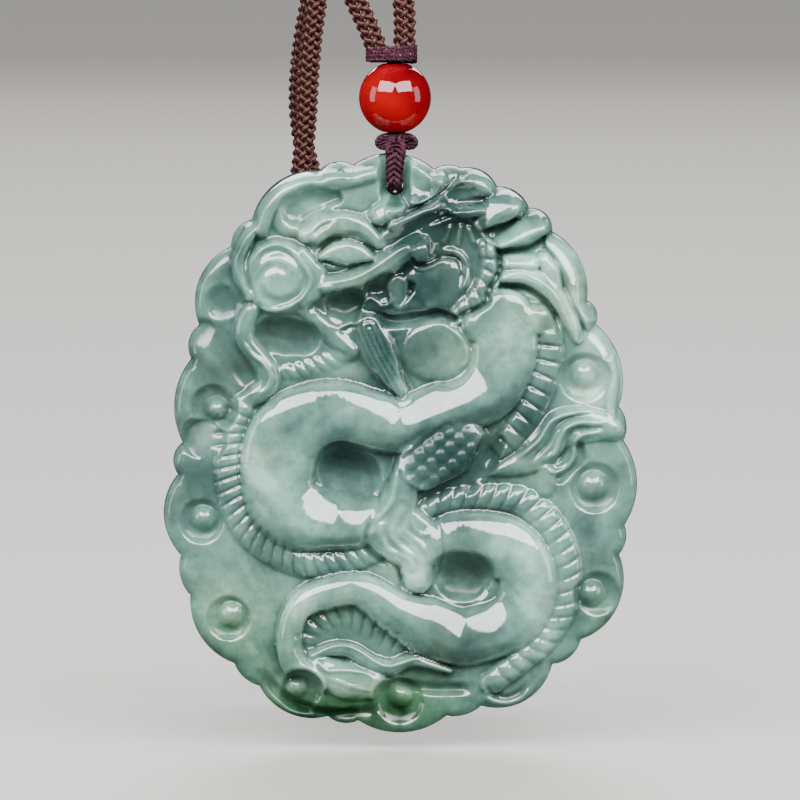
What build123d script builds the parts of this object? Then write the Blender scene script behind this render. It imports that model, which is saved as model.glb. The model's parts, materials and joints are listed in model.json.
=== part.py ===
import os
from collections import namedtuple
from math import pi, radians, sqrt, tan

import numpy as np
from build123d import *

os.makedirs("parts", exist_ok=True)

# Driving sizes, in millimetres
plaque_width = 47.5
plaque_height = 58.5
plaque_floor = 2.4          # stone left behind the deepest hollow
carving_depth = 5.6         # from that floor to the highest crest
plaque_back = 2.2           # the flat back lies this far behind the hanging thread
back_rounding = 1.6         # how far in the rounded back edge reaches
rim_rounding = 1.7          # how far in the rounded front edge reaches
bead_diameter = 7.2
bead_bore_radius = 0.93
knot_radius = 2.1
knot_height = 1.55
wrap_width = 5.3
wrap_thickness = 2.9
wrap_height = 1.75
thread_width = 2.0          # both threads side by side at the knot
thread_end_width = 1.5      # and where they dip into the hole
thread_thickness = 0.9
cord_diameter = 2.4
back_knot_diameter = 6.0
back_knot_length = 10.0

# Clearances
running_clearance = 0.08    # round things that turn in a hole
thread_gap = 0.33           # thread to stone, front and back
edge_gap = 0.35             # knot to the stone's top edge
stack_gap = 0.11            # bead to the knot below it and the wrap above it

# Where things hang: the origin is under the top of the cord's arch
hang_across = 2.1           # the pendant hangs this far right of the arch's middle
hang_forward = 16.0         # and this far in front of it
wrap_top = -97.8            # top of the wrap
wrap_across = 1.75

# Drawing sheet of the carving: steps across from the left and down from the top
sheet_wide = 475.0
sheet_high = 585.0
sheet_middle = (400.0, 446.0)
sheet_top = 153.5
hole_place = (395.0, 186.0)
across_step = plaque_width / sheet_wide
down_step = plaque_height / sheet_high

# Heights of the stack that hangs on the thread
pin_radius = thread_end_width / 2
hole_radius = pin_radius + running_clearance
stem_radius = bead_bore_radius - running_clearance
bead_half = sqrt((bead_diameter / 2)**2 - bead_bore_radius**2)
wrap_low = wrap_top - wrap_height
bead_middle = wrap_low - stack_gap - bead_half
knot_high = bead_middle - bead_half - stack_gap
knot_low = knot_high - knot_height
hole_height = knot_low - edge_gap - (hole_place[1] - sheet_top) * down_step

# Levels of the carving are shares of carving_depth above the floor
ground_level = 0.46         # the plain ground, at the edge of the stone
ground_bow = 0.06           # the ground rises this much to the middle
thread_bed_level = 0.32     # the shallow bed that the thread lies in
rim_level = 0.02            # the outline itself
rim_crest = 1.0             # what the rounded rim would rise to
form_blend = 0.03           # softness of the join between two forms
cell_count = 64             # facets across the carved face
bore_cell_count = 3         # cells from the hole's middle to the ring that it is cut in

Lobe = namedtuple("Lobe", "across down top_across top_down")
Form = namedtuple("Form", "path widths level foot")
Hollow = namedtuple("Hollow", "path widths level sharpness")
Cup = namedtuple("Cup", "across down ring boss lean_across lean_down")

# Scallops of the outline: where each starts and the top of its arc
lobes = [Lobe(*row) for row in (
    (353, 165.5, 395, 153.5), (434, 169.5, 449, 165.5), (461, 168.5, 482, 171),
    (497, 187, 516, 192), (529, 208.5, 546, 214.5), (552, 232, 580, 260),
    (587, 301, 597, 312), (596, 325, 620, 360), (619.5, 408, 627, 424),
    (624.5, 442.5, 638, 484), (625.5, 528, 627.5, 541), (620, 557, 618, 612),
    (582, 643, 573, 659), (553.5, 668, 530, 703), (482, 710.5, 466, 719.5),
    (447, 720.5, 402, 738), (358, 725.5, 342, 728), (327, 721.5, 288, 718.5),
    (258, 690, 242, 681), (233, 667, 203, 645), (189, 598, 178, 574),
    (180, 558, 162.5, 516), (177, 476, 172.5, 460), (182, 444, 173.5, 405),
    (191, 359.5, 188.5, 341), (199, 326, 199, 280), (231, 247, 237, 229.5),
    (252, 220, 274, 185), (320, 170.5, 341, 162),
)]

# Rounded forms: path of the middle line, half widths along it, level of the
# crest and of the foot. A later form stands in front where it is higher.
head_forms = [Form(*row) for row in (
    (((268, 218), (282, 196), (318, 188), (362, 185), (420, 182)), (16, 24, 26, 24, 16), .60, .36),
    (((345, 176), (395, 170), (425, 180)), (12, 20, 10), .58, .36),
    (((305, 262), (345, 250), (385, 245), (420, 245)), (30, 36, 34, 24), .72, .34),
    (((330, 284), (362, 276), (400, 262), (435, 268)), (14, 18, 22, 20), .72, .30),
    (((254, 228), (243, 250), (243, 276), (254, 298)), (8, 10, 10, 8), .70, .36),
    (((279, 274),), (34,), .80, .36),
    (((303, 250), (307, 229), (326, 218), (352, 221), (378, 236), (390, 246)),
     (8, 10, 12, 12, 11, 5), .86, .50),
    (((326, 280), (350, 272), (380, 256), (411, 241)), (9, 11, 12, 12), .92, .50),
    (((425, 246),), (18,), .99, .40),
    (((449, 266),), (21,), .92, .30),
    (((378, 214), (390, 210)), (12, 13), .86, .50),
    (((393, 214), (420, 206), (446, 192), (465, 174)), (12, 11, 9, 5), .84, .40),
    (((443, 202), (462, 207), (484, 204)), (6, 9, 8), .80, .40),
    (((446, 234), (461, 230), (474, 238)), (13, 15, 12), .64, .30),
    (((484, 254),), (13,), .72, .30),
    (((484, 273),), (14,), .74, .30),
    (((472, 293),), (15,), .70, .30),
    (((462, 308),), (12,), .62, .30),
    (((416, 274), (427, 298), (430, 308)), (12, 13, 10), .66, .20),
    (((300, 306), (318, 318), (345, 328), (366, 324)), (8, 10, 11, 9), .60, .30),
    (((340, 335), (355, 345)), (14, 12), .54, .30),
)]
mane_forms = [Form(*row) for row in (
    (((446, 198), (464, 186), (486, 185)), (8, 18, 16), .76, .40),
    (((484, 222), (502, 206), (517, 201)), (7, 19, 16), .80, .40),
    (((500, 239), (524, 229), (540, 221)), (6, 17, 14), .78, .40),
    (((506, 259), (519, 258), (532, 262)), (7, 11, 9), .72, .40),
    (((505, 274), (528, 279), (551, 292), (576, 320)), (7, 9, 9, 6), .72, .40),
    (((505, 296), (532, 304), (552, 320)), (11, 11, 9), .68, .34),
    (((556, 247), (572, 265), (577, 290), (588, 318)), (12, 15, 12, 7), .68, .34),
    (((478, 326), (510, 322), (540, 318)), (17, 22, 16), .74, .34),
)]
body_forms = [Form(*row) for row in (
    (((240, 404), (231, 430), (227, 455), (228, 480), (233, 505), (246, 531), (270, 552), (300, 562),
      (330, 562), (362, 555), (380, 550)), (11, 14, 14, 14, 15, 16, 16, 15, 15, 15, 12), .66, .40),
    (((551, 326), (550, 350), (546, 370), (538, 390), (526, 410), (511, 428), (497, 446)),
     (15, 15, 15, 15, 15, 14, 9), .70, .34),
    (((425, 510), (455, 499), (490, 497), (520, 501), (541, 515), (557, 537), (567, 565), (568, 592),
      (560, 618), (545, 640), (522, 660), (498, 674)),
     (11, 13, 13, 15, 16, 16, 15, 14, 14, 14, 14, 13), .66, .40),
    (((303, 646), (314, 626), (345, 617), (378, 632), (404, 652)), (13, 14, 15, 15, 12), .50, .20),
    (((286, 370), (310, 366), (335, 358), (352, 348)), (12, 12, 13, 12), .60, .30),
    (((505, 325), (505, 352), (487, 388), (440, 410), (400, 424), (372, 419), (333, 414), (290, 432),
      (277, 472), (288, 508), (334, 523), (376, 520)),
     (32, 33, 32, 29, 27, 31, 37, 39, 37, 38, 27, 24), .90, .42),
    (((425, 545), (463, 537), (514, 553), (529, 585), (514, 620), (467, 637), (428, 627), (394, 611),
      (360, 589), (328, 592), (301, 605), (290, 630), (292, 660), (312, 682)),
     (20, 28, 33, 29, 29, 28, 29, 30, 22, 17, 17, 13, 13, 16), .86, .40),
    (((322, 672), (345, 680), (368, 684)), (20, 24, 18), .74, .38),
    (((318, 657), (340, 655), (362, 665), (382, 682)), (5, 13, 15, 10), .66, .30),
    (((340, 647), (364, 660), (390, 668), (418, 658), (452, 671)), (6, 7, 7, 6, 4), .62, .30),
)]
leg_forms = [Form(*row) for row in (
    (((242, 338), (257, 352), (270, 368), (264, 388), (245, 401), (226, 410)),
     (8, 10, 11, 11, 9, 4), .74, .36),
    (((484, 470), (520, 462), (544, 444), (564, 426), (596, 424), (614, 428)),
     (4, 11, 18, 20, 19, 12), .64, .30),
    (((545, 472), (545, 488)), (11, 10), .60, .30),
    (((424, 466), (462, 442)), (28, 28), .96, .34),
    (((408, 470), (397, 500), (394, 524)), (14, 20, 22), .94, .34),
    (((392, 528), (408, 542), (424, 552)), (22, 22, 16), .88, .34),
    (((412, 548), (418, 566), (416, 578)), (15, 15, 12), .86, .34),
)]

# Hollows: path of the middle line, half widths along it, level of the floor
# and how steep the walls are. The first is the bed that the thread lies in.
hollows = [Hollow(*row) for row in (
    (((395, 148), (395, 188)), (21, 20), thread_bed_level, 6),
    (((300, 208), (318, 199), (336, 194)), (14, 11, 5), .36, 3),
    (((222, 290), (224, 306)), (17, 18), .22, 3),
    (((226, 350), (240, 366)), (16, 22), .14, 3),
    (((272, 336), (306, 337)), (20, 21), .06, 3),
    (((336, 301), (350, 301)), (14, 15), .06, 3),
    (((372, 312), (400, 317), (428, 316), (452, 314)), (6, 7, 6, 4), .08, 3),
    (((372, 286), (386, 282), (400, 276), (412, 284)), (9, 9, 8, 9), .30, 3),
    (((378, 243), (404, 231), (432, 222), (444, 216), (468, 213)), (4, 5, 6, 6, 4), .34, 3),
    (((434, 236), (434, 248)), (6, 5), .20, 3),
    (((338, 472), (362, 473)), (25, 25), .10, 3),
    (((453, 584), (476, 583)), (24, 24), .14, 3),
    (((490, 440), (476, 466), (462, 480)), (7, 7, 5), .14, 3),
    (((430, 500), (448, 494)), (7, 5), .16, 3),
    (((326, 250), (362, 250)), (15, 14), .52, 3),
    (((428, 347), (444, 347)), (34, 34), .40, 3),
    (((262, 676), (290, 694), (330, 712), (372, 712)), (8, 8, 6, 4), .26, 3),
    (((396, 682), (430, 690), (470, 690)), (8, 12, 8), .26, 3),
    (((560, 478), (580, 460), (580, 445)), (6, 7, 5), .26, 3),
)]

# Forms that stand in the hollows: eye, tooth, pearl and beard
inner_forms = [Form(*row) for row in (
    (((335, 251), (356, 251)), (9, 9), .82, .50),
    (((396, 281), (393, 296)), (9, 5), .78, .30),
    (((428, 348), (444, 348)), (28, 28), .72, .40),
    (((383, 326), (392, 350), (399, 378), (403, 392)), (5, 9, 13, 9), .70, .30),
)]

# Cloud curls at the rim: a round cup with a boss in it, which leans to one side
cups = [Cup(*row) for row in (
    (584, 376, 28, 13, 0, -3),
    (595, 487, 29, 14.5, -2, -2),
    (599, 594, 26, 14, -8, 0),
    (213, 406, 26, 10, 4, 2),
    (201, 521, 26, 12, 3, -3),
    (228, 619, 26, 14.5, 4, -4),
    (300, 694, 24, 11, -4, -6),
    (400, 703, 28, 13, 1, -7),
    (509, 686, 24, 12, 0, -4),
)]
cup_floor = 0.22
cup_lip = 0.36
boss_rise = 0.36

# Route of the cord, from the wrap to the knot at the back, for each half
left_route = [
    (0.35, -16, -98.4), (-0.3, -16, -96.6), (-1.9, -15.9, -93.3), (-4.5, -15.7, -87.3),
    (-6.5, -15.4, -76), (-6.9, -15.1, -55), (-5.3, -15.5, -32), (-3.5, -16, -8.2),
    (-2.5, -6.6, 1.2), (-2.3, 6.6, 1.2), (-3.1, 16, -8.2), (-4.3, 16.8, -30),
    (-3.3, 16, -60), (-4.3, 15.8, -85), (-6.8, 15.6, -98), (-7.3, 15.4, -110),
    (-9.4, 15.4, -122), (-13.9, 15.6, -132.5), (-17.6, 16, -143.5), (-18.4, 16.3, -156.5),
    (-12.9, 16.5, -162), (-5.9, 16.5, -162),
]
right_route = [
    (2.95, -16, -98.4), (3.4, -16, -94.2), (1.2, -15.8, -87.2), (0.3, -15.5, -76),
    (0.1, -15.2, -55), (0.7, -15.5, -32), (1.4, -16, -8.2), (2.4, -6.6, 1.2),
    (2.3, 6.6, 1.2), (1.0, 16.6, -8.2), (-0.3, 19.2, -30), (-2.1, 19.6, -60),
    (-4.2, 19.4, -85), (-7.8, 19.2, -98), (-8.3, 19, -110),
    (-2.9, 19, -122), (7.5, 18.4, -133), (15.8, 17.6, -143.5), (16.6, 17, -156.5),
    (11.1, 16.5, -162), (4.1, 16.5, -162),
]
run_share = 0.45            # share of a run that the bend at its end may take


def smooth_path(points, steps=8):
    """A smooth curve through the points of a path."""
    points = np.asarray(points, float)
    if len(points) < 3:
        return points
    before = np.vstack([2 * points[0] - points[1], points[:-1]])
    after = np.vstack([points[1:], 2 * points[-1] - points[-2]])
    slope = (after - before) / 2
    share = np.linspace(0, 1, steps, endpoint=False)[:, None]
    start, end = points[:-1, None], points[1:, None]
    start_slope, end_slope = slope[:-1, None], slope[1:, None]
    curve = start + share * start_slope
    curve = curve + share**2 * (3 * (end - start) - 2 * start_slope - end_slope)
    curve = curve + share**3 * (2 * (start - end) + start_slope + end_slope)
    return np.vstack([curve.reshape(-1, 2), points[-1]])


def measure(spots, points):
    """Distance of each spot from a path, and how far along the path it lies."""
    path = smooth_path(points)
    away = np.hypot(*(spots - path[0]).T)
    share = np.zeros(len(spots))
    runs = np.diff(path, axis=0)
    lengths = np.hypot(*runs.T)
    walked = 0.0
    for start, run, length in zip(path, runs, lengths):
        offset = spots - start
        part_way = np.clip(offset @ run / length**2, 0, 1)
        gap = np.hypot(*(offset - part_way[:, None] * run).T)
        nearer = gap < away
        away[nearer] = gap[nearer]
        share[nearer] = (walked + part_way[nearer] * length) / lengths.sum()
        walked += length
    return away, share


def reach_of(spots, row):
    """Which spots a form covers, and their distance in half widths."""
    away, share = measure(spots, row.path)
    widths = np.interp(share, np.linspace(0, 1, len(row.widths)), row.widths)
    return away < widths, np.minimum(away / widths, 1)


def raise_form(level, spots, row):
    """Lets a round-backed form stand out of the ground."""
    covered, reach = reach_of(spots, row)
    top = row.foot + (row.level - row.foot) * (1 - reach**2.4)**0.55
    joined = (level + top + np.sqrt((level - top)**2 + form_blend**2) - form_blend) / 2
    level[covered] = np.maximum(level, joined)[covered]


def sink_hollow(level, spots, row):
    """Cuts a hollow with a rounded floor."""
    covered, reach = reach_of(spots, row)
    floor = row.level + (1 - row.level) * reach**row.sharpness
    level[covered] = np.minimum(level, floor)[covered]


def carve_cup(level, spots, cup):
    """Cuts a round cup and leaves a boss in it."""
    middle = np.array([cup.across, cup.down])
    reach = np.hypot(*(spots - middle).T) / cup.ring
    boss = np.hypot(*(spots - middle - (cup.lean_across, cup.lean_down)).T) / cup.boss
    inside = reach < 1.1
    level[inside] = np.minimum(level, cup_floor + cup_lip * reach**4)[inside]
    dome = cup_floor + boss_rise * np.sqrt(np.clip(1 - boss**2, 0, 1))
    on_boss = boss < 1
    level[on_boss] = np.maximum(level, dome)[on_boss]


def arc_of(lobe, following, count):
    """Points of a lobe's arc, without its end."""
    start = complex(lobe.across, lobe.down)
    top = complex(lobe.top_across, lobe.top_down)
    end = complex(following.across, following.down)
    ratio = (end - start) / (top - start)
    middle = start + (top - start) * (abs(ratio)**2 - ratio) / (ratio.conjugate() - ratio)
    turn = np.angle((end - middle) / (start - middle))
    if turn < 0:
        turn += 2 * pi
    spots = middle + (start - middle) * np.exp(1j * turn * np.arange(count) / count)
    return np.column_stack([spots.real, spots.imag])


def outline_points(count=24):
    """The scalloped outline as a closed row of points."""
    return np.vstack([arc_of(lobe, lobes[i + 1 - len(lobes)], count) for i, lobe in enumerate(lobes)])


def carved_level(spots):
    """Level of the carved face at spots of the drawing sheet."""
    outward = (spots - sheet_middle) / (sheet_wide / 2, sheet_high / 2)
    level = ground_level + ground_bow * (1 - (outward**2).sum(axis=1))
    for row in head_forms + mane_forms + body_forms + leg_forms:
        raise_form(level, spots, row)
    for row in hollows:
        sink_hollow(level, spots, row)
    for row in inner_forms:
        raise_form(level, spots, row)
    for cup in cups:
        carve_cup(level, spots, cup)
    ring = outline_points()
    from_edge, _ = measure(spots, np.vstack([ring, ring[:1]]))
    from_rim = np.clip(1 - from_edge * across_step / rim_rounding, 0, 1)
    rim = rim_level + (rim_crest - rim_level) * np.sqrt(1 - from_rim**2)
    return np.minimum(level, rim)


def sheet_to_space(across, down, height):
    """A point of the stone: height is measured forward from its flat back."""
    return Vector(
        hang_across + (across - hole_place[0]) * across_step,
        plaque_back - hang_forward - height,
        hole_height - (down - hole_place[1]) * down_step,
    )


def face_heights(spots):
    """Heights of the carved face, each averaged over a small patch."""
    patch = 2.5
    shifts = [(0, 0), (patch, patch), (-patch, patch), (patch, -patch), (-patch, -patch)]
    levels = [carved_level(spots + shift) for shift in shifts]
    return plaque_floor + carving_depth * np.mean(levels, axis=0)


def disc_grid():
    """Spots of a square grid drawn out to fill the scalloped outline."""
    ring = outline_points() - sheet_middle
    ring_angle = np.arctan2(ring[:, 1], ring[:, 0])
    order = np.argsort(ring_angle)
    ring_radius = np.hypot(*ring.T)
    steps = np.linspace(-1, 1, cell_count + 1)
    side, rise = np.meshgrid(steps, steps)
    flat_side = side * np.sqrt(1 - rise**2 / 2)
    flat_rise = rise * np.sqrt(1 - side**2 / 2)
    angle = np.arctan2(flat_rise, flat_side)
    share = np.hypot(flat_side, flat_rise)
    edge = np.interp(angle, ring_angle[order], ring_radius[order], period=2 * pi)
    plain = 1 / np.hypot(np.cos(angle) * 2 / sheet_wide, np.sin(angle) * 2 / sheet_high)
    radius = share * (plain + (edge - plain) * share**6)
    return sheet_middle + np.dstack([radius * np.cos(angle), radius * np.sin(angle)])


def triangle(a, b, c):
    return Face(Wire.make_polygon((a, b, c)))


def band(outer, inner):
    """Triangles between two closed rows of as many points."""
    faces = []
    for i in range(len(outer)):
        a, b = outer[i - 1], outer[i]
        c, d = inner[i], inner[i - 1]
        faces.append(triangle(a, b, c))
        faces.append(triangle(a, c, d))
    return faces


def square_ring(grid, low_row, high_row, low_column, high_column):
    """Points of the grid round a block, in order."""
    top = [grid[low_row][i] for i in range(low_column, high_column)]
    right = [grid[j][high_column] for j in range(low_row, high_row)]
    bottom = [grid[high_row][i] for i in range(high_column, low_column, -1)]
    left = [grid[j][low_column] for j in range(high_row, low_row, -1)]
    return top + right + bottom + left


def plaque_solid():
    """The carved stone: facets in front, a rounded edge, a flat back and the hole."""
    grid = disc_grid()
    heights = face_heights(grid.reshape(-1, 2)).reshape(grid.shape[:2])
    heights[[0, -1], :] = plaque_floor + carving_depth * rim_level
    heights[:, [0, -1]] = plaque_floor + carving_depth * rim_level
    points = [[sheet_to_space(*grid[j][i], heights[j][i]) for i in range(cell_count + 1)]
              for j in range(cell_count + 1)]
    row, column = np.unravel_index(np.argmin(np.hypot(*(grid - hole_place).transpose(2, 0, 1))),
                                   grid.shape[:2])
    block = (row - bore_cell_count, row + bore_cell_count, column - bore_cell_count, column + bore_cell_count)
    faces = []
    for j in range(cell_count):
        for i in range(cell_count):
            if block[0] <= j < block[1] and block[2] <= i < block[3]:
                continue
            a, b, c, d = points[j][i], points[j][i + 1], points[j + 1][i + 1], points[j + 1][i]
            if (a - c).length < (b - d).length:
                faces += [triangle(a, b, c), triangle(a, c, d)]
            else:
                faces += [triangle(a, b, d), triangle(b, c, d)]

    # The hole: a bore from the carved face straight through to the back
    block_ring = square_ring(points, *block)
    hole_middle = sheet_to_space(*hole_place, 0)
    bore_front = []
    bore_back = []
    for corner in block_ring:
        outward = Vector(corner.X - hole_middle.X, 0, corner.Z - hole_middle.Z)
        spot = hole_middle + outward.normalized() * hole_radius
        mouth = plaque_floor + carving_depth * thread_bed_level
        bore_front.append(Vector(spot.X, hole_middle.Y - mouth, spot.Z))
        bore_back.append(spot)
    faces += band(block_ring, bore_front)
    faces += [Face(Wire.make_polygon((bore_front[i - 1], bore_front[i], bore_back[i], bore_back[i - 1])))
              for i in range(len(bore_front))]

    # The back edge, rounded in three bands, and the flat back
    rim = square_ring(grid, 0, cell_count, 0, cell_count)
    rows = [square_ring(points, 0, cell_count, 0, cell_count)]
    rim_height = plaque_floor + carving_depth * rim_level
    for turn in (30, 60, 90):
        inward = back_rounding / across_step * (1 - np.cos(radians(turn)))
        height = rim_height * (1 - np.sin(radians(turn)))
        inset = [spot + (sheet_middle - spot) * inward / np.hypot(*(sheet_middle - spot)) for spot in rim]
        rows.append([sheet_to_space(*spot, height) for spot in inset])
    for outer, inner in zip(rows, rows[1:]):
        faces += band(outer, inner)
    faces.append(Face(Wire.make_polygon(rows[-1]), [Wire.make_polygon(bore_back)]))
    return Solid(Shell(faces))


def cord_half(route):
    """A plain tube along straight runs and the widest arcs that fit them, cut off at the wrap."""
    points = [Vector(*point) for point in route]
    runs = [after - before for before, after in zip(points, points[1:])]
    bends = []
    for before, after in zip(runs, runs[1:]):
        shorter = min(before.length, after.length)
        bends.append(run_share * shorter / tan(radians(before.get_angle(after)) / 2))
    with BuildPart() as tube:
        with BuildLine() as line:
            FilletPolyline(*points, radius=bends)
        course = line.wires()[0]
        with BuildSketch(Plane(origin=points[0], z_dir=runs[0])):
            Circle(cord_diameter / 2)
        sweep(path=course)
        volume = tube.part.volume
        add(top_wrap.part, mode=Mode.SUBTRACT)
    section = pi * (cord_diameter / 2)**2
    print("cord length", round(course.length, 1), "tightest bend", round(min(bends), 1),
          "volume over section and length", round(volume / section / course.length, 4))
    return tube.part


# Stone plaque
with BuildPart() as jade_plaque:
    add(plaque_solid())

# Red bead, drilled through
with BuildPart() as red_bead:
    with Locations((hang_across, -hang_forward, bead_middle)):
        Sphere(bead_diameter / 2)
        Cylinder(bead_bore_radius, bead_diameter, mode=Mode.SUBTRACT)

# Knot under the bead, with the thread that goes up through the bead
with BuildPart() as loop_knot:
    with BuildSketch(Plane.XZ.offset(hang_forward)) as knot_profile:
        with BuildLine():
            end_radius = knot_radius - knot_height / 8
            waist = (knot_low + knot_high) / 2
            Polyline((hang_across + end_radius, knot_low), (hang_across, knot_low), (hang_across, wrap_low),
                     (hang_across + stem_radius, wrap_low), (hang_across + stem_radius, knot_high),
                     (hang_across + end_radius, knot_high))
            ThreePointArc((hang_across + end_radius, knot_high), (hang_across + knot_radius, waist),
                          (hang_across + end_radius, knot_low))
        make_face()
    revolve(axis=Axis((hang_across, -hang_forward, 0), (0, 0, 1)))

# Thread loop: a leg in front, a leg behind and the stretch through the hole
mouth_front = plaque_back - plaque_floor - carving_depth * thread_bed_level
front_near = mouth_front - thread_gap
front_far = front_near - thread_thickness
back_near = plaque_back + thread_gap
back_far = back_near + thread_thickness
thread_low = hole_height - pin_radius
thread_high = (knot_low + knot_high) / 2
thread_middle = (thread_low + thread_high) / 2
side_sheet = Plane(origin=(hang_across, -hang_forward, 0), x_dir=(0, 1, 0), z_dir=(1, 0, 0))
front_sheet = Plane(origin=(hang_across, back_far - hang_forward, 0), x_dir=(1, 0, 0), z_dir=(0, -1, 0))
with BuildPart() as hanging_loop:
    with BuildSketch(side_sheet):
        with Locations(((front_far + front_near) / 2, thread_middle), ((back_far + back_near) / 2, thread_middle)):
            Rectangle(thread_thickness, thread_high - thread_low)
    extrude(amount=thread_width, both=True)
    with BuildSketch(front_sheet):
        with BuildLine():
            Polyline((-pin_radius, hole_height), (-thread_width / 2, thread_high),
                     (thread_width / 2, thread_high), (pin_radius, hole_height))
            ThreePointArc((pin_radius, hole_height), (0, thread_low), (-pin_radius, hole_height))
        make_face()
    extrude(amount=back_far - front_far, mode=Mode.INTERSECT)
    pin_middle = (front_near + back_near) / 2 - hang_forward
    with Locations((hang_across, pin_middle, hole_height)):
        Cylinder(pin_radius, back_near - front_near + thread_thickness, rotation=(90, 0, 0))

# Wrap above the bead, which both halves of the cord go into
with BuildPart() as top_wrap:
    with BuildSketch(Plane.XY.offset(wrap_low)):
        with Locations((wrap_across, -hang_forward)):
            SlotOverall(wrap_width, wrap_thickness)
    extrude(amount=wrap_height)
    fillet(top_wrap.edges().group_by(Axis.Z)[0], cord_diameter / 8)

# Knot that joins the halves of the cord at the back
with BuildPart() as back_knot:
    with Locations((left_route[-1][0] + back_knot_length / 2, *left_route[-1][1:])):
        Cylinder(back_knot_diameter / 2, back_knot_length, rotation=(0, 90, 0))
    fillet(back_knot.edges(), back_knot_diameter / 6)

# The cord, in two halves
with BuildPart() as necklace_cord_left:
    add(cord_half(left_route))
with BuildPart() as necklace_cord_right:
    add(cord_half(right_route))

pieces = {
    "jade_plaque": jade_plaque,
    "red_bead": red_bead,
    "loop_knot": loop_knot,
    "hanging_loop": hanging_loop,
    "top_wrap": top_wrap,
    "back_knot": back_knot,
    "necklace_cord_left": necklace_cord_left,
    "necklace_cord_right": necklace_cord_right,
}
for name, piece in pieces.items():
    piece.part.label = name
    export_step(piece.part, f"parts/{name}.step")
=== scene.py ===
import json
from collections import namedtuple
from functools import cache
from math import cos, pi, radians, sin, sqrt, tau

import bmesh
import bpy
import numpy as np
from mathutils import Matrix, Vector


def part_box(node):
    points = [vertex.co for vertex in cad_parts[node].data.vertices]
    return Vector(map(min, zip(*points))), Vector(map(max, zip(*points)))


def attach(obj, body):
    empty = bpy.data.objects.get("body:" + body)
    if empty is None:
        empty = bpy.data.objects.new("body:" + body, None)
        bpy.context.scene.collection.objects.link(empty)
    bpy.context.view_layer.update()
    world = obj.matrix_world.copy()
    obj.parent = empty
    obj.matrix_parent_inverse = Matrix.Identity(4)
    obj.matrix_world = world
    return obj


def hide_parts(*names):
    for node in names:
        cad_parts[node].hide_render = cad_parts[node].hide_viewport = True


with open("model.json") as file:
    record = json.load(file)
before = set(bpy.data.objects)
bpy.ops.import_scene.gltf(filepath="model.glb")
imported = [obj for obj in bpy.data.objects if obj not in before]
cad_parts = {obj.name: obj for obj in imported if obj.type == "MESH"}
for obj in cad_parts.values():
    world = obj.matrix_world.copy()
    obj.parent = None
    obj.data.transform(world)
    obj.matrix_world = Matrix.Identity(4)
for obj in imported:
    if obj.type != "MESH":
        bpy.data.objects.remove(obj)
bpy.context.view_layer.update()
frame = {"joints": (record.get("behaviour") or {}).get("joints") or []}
mm = 0.001
tiny = 1e-5

# Places taken from the frame
joint_place = {joint["name"]: Vector(joint["pos_m"]) for joint in frame["joints"]}
hole = joint_place["pendant_rock"]
bead_middle = joint_place["bead_turn"]
stone_low, stone_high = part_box("jade_plaque")
wrap_low, wrap_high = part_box("top_wrap")
back_knot_low, back_knot_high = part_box("back_knot")
bead_low, bead_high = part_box("red_bead")

# The stone's sizes
stone_back = stone_high.y
stone_floor = 2.4 * mm
carving_depth = 5.6 * mm
hole_radius = 0.83 * mm
mouth_rounding = 0.3 * mm
back_rounding = 1.6 * mm
back_margin = 0.15 * mm
stone_cells = 296
hole_cells = 9

# The sheet that the carving is drawn on, in its steps. Levels go from 0, the floor, to 1, the full depth
sheet_step = 0.1 * mm
sheet_middle = np.array([400.0, 446.0])
sheet_half = np.array([237.5, 292.5])
hole_place = np.array([395.0, 186.0])
aim_place = np.array([400.0, 400.0])
path_steps = 8
arc_steps = 12
spots_at_once = 3000
scallop_fade = 6
rim_zone = 0.7
rim_rounding = 18
rim_fullness = 3
rim_level = 0.02
ground_level = 0.46
ground_bow = 0.06
form_blend = 0.06
form_margin = 12
hollow_margin = 6
facet_blend = 0.01
wall_drop = 0.03
crest_rounding = 0.15
cup_floor = 0.33
cup_lip = 0.28
cup_reach = 1.5
cup_steepness = 5
boss_rise = 0.20
line_fade = 8
line_end = 0.3

# The small round scales on the thigh
scale_middle = (441, 453)
scale_reach = (40, 27)
scale_lean = -41
scale_pitch = 12.3
scale_row = 14.7
scale_shift = 3.1
scale_radius = 6.5
scale_rise = 0.04
scale_spread = 4.6
scale_fade = 4

# How the stone's colour and polish follow its carving: painted shade darkens its deep places and crevices,
# and painted light makes its crests paler
stone_tint = 0.49
# Painted shade: the stone's colour darkens the deeper the carving goes
painted_depth_shade = 0.20
middle_level = 0.55
# Painted shade darkens and greens the crevices and painted light makes the crests paler, each up to its limit
# below
painted_crevice_shade = 2.8
crevice_shade_green = 2
crevice_passes = 14
crest_highlight_limit = -0.04
crevice_shade_limit = 0.12
dull_below = 0.48
dull_range = 0.18
polished_floor = 0.1
scale_dullness = 0.72

# Bead, cord, knots and threads
bead_bore = 0.93 * mm
bead_lip = 0.2 * mm
bead_rings = 48
bead_steps = 72
route_steps = 24
braid_lay = 3.7 * mm
braid_radius = 0.79 * mm
braid_wave = 0.19 * mm
braid_lean = 0.5
braid_strands = 4
strand_half_width = 0.27 * mm
strand_half_depth = 0.19 * mm
strand_step = 0.145 * mm
strand_sides = 5
thread_sides = 6
thread_flatness = 0.85
wrap_cord = 1.15 * mm
wrap_half_width = 0.56 * wrap_cord
wrap_half_depth = 0.5 * wrap_cord
wrap_sink = 0.9 * wrap_cord
wrap_sides = 8
thread_radius = 0.21 * mm
thread_step = 0.08 * mm
thread_lay = 3.4 * mm
thread_gathering = 3
knot_strand = 0.17 * mm
knot_height = -107.5 * mm
stem_top = -98.6 * mm

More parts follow.
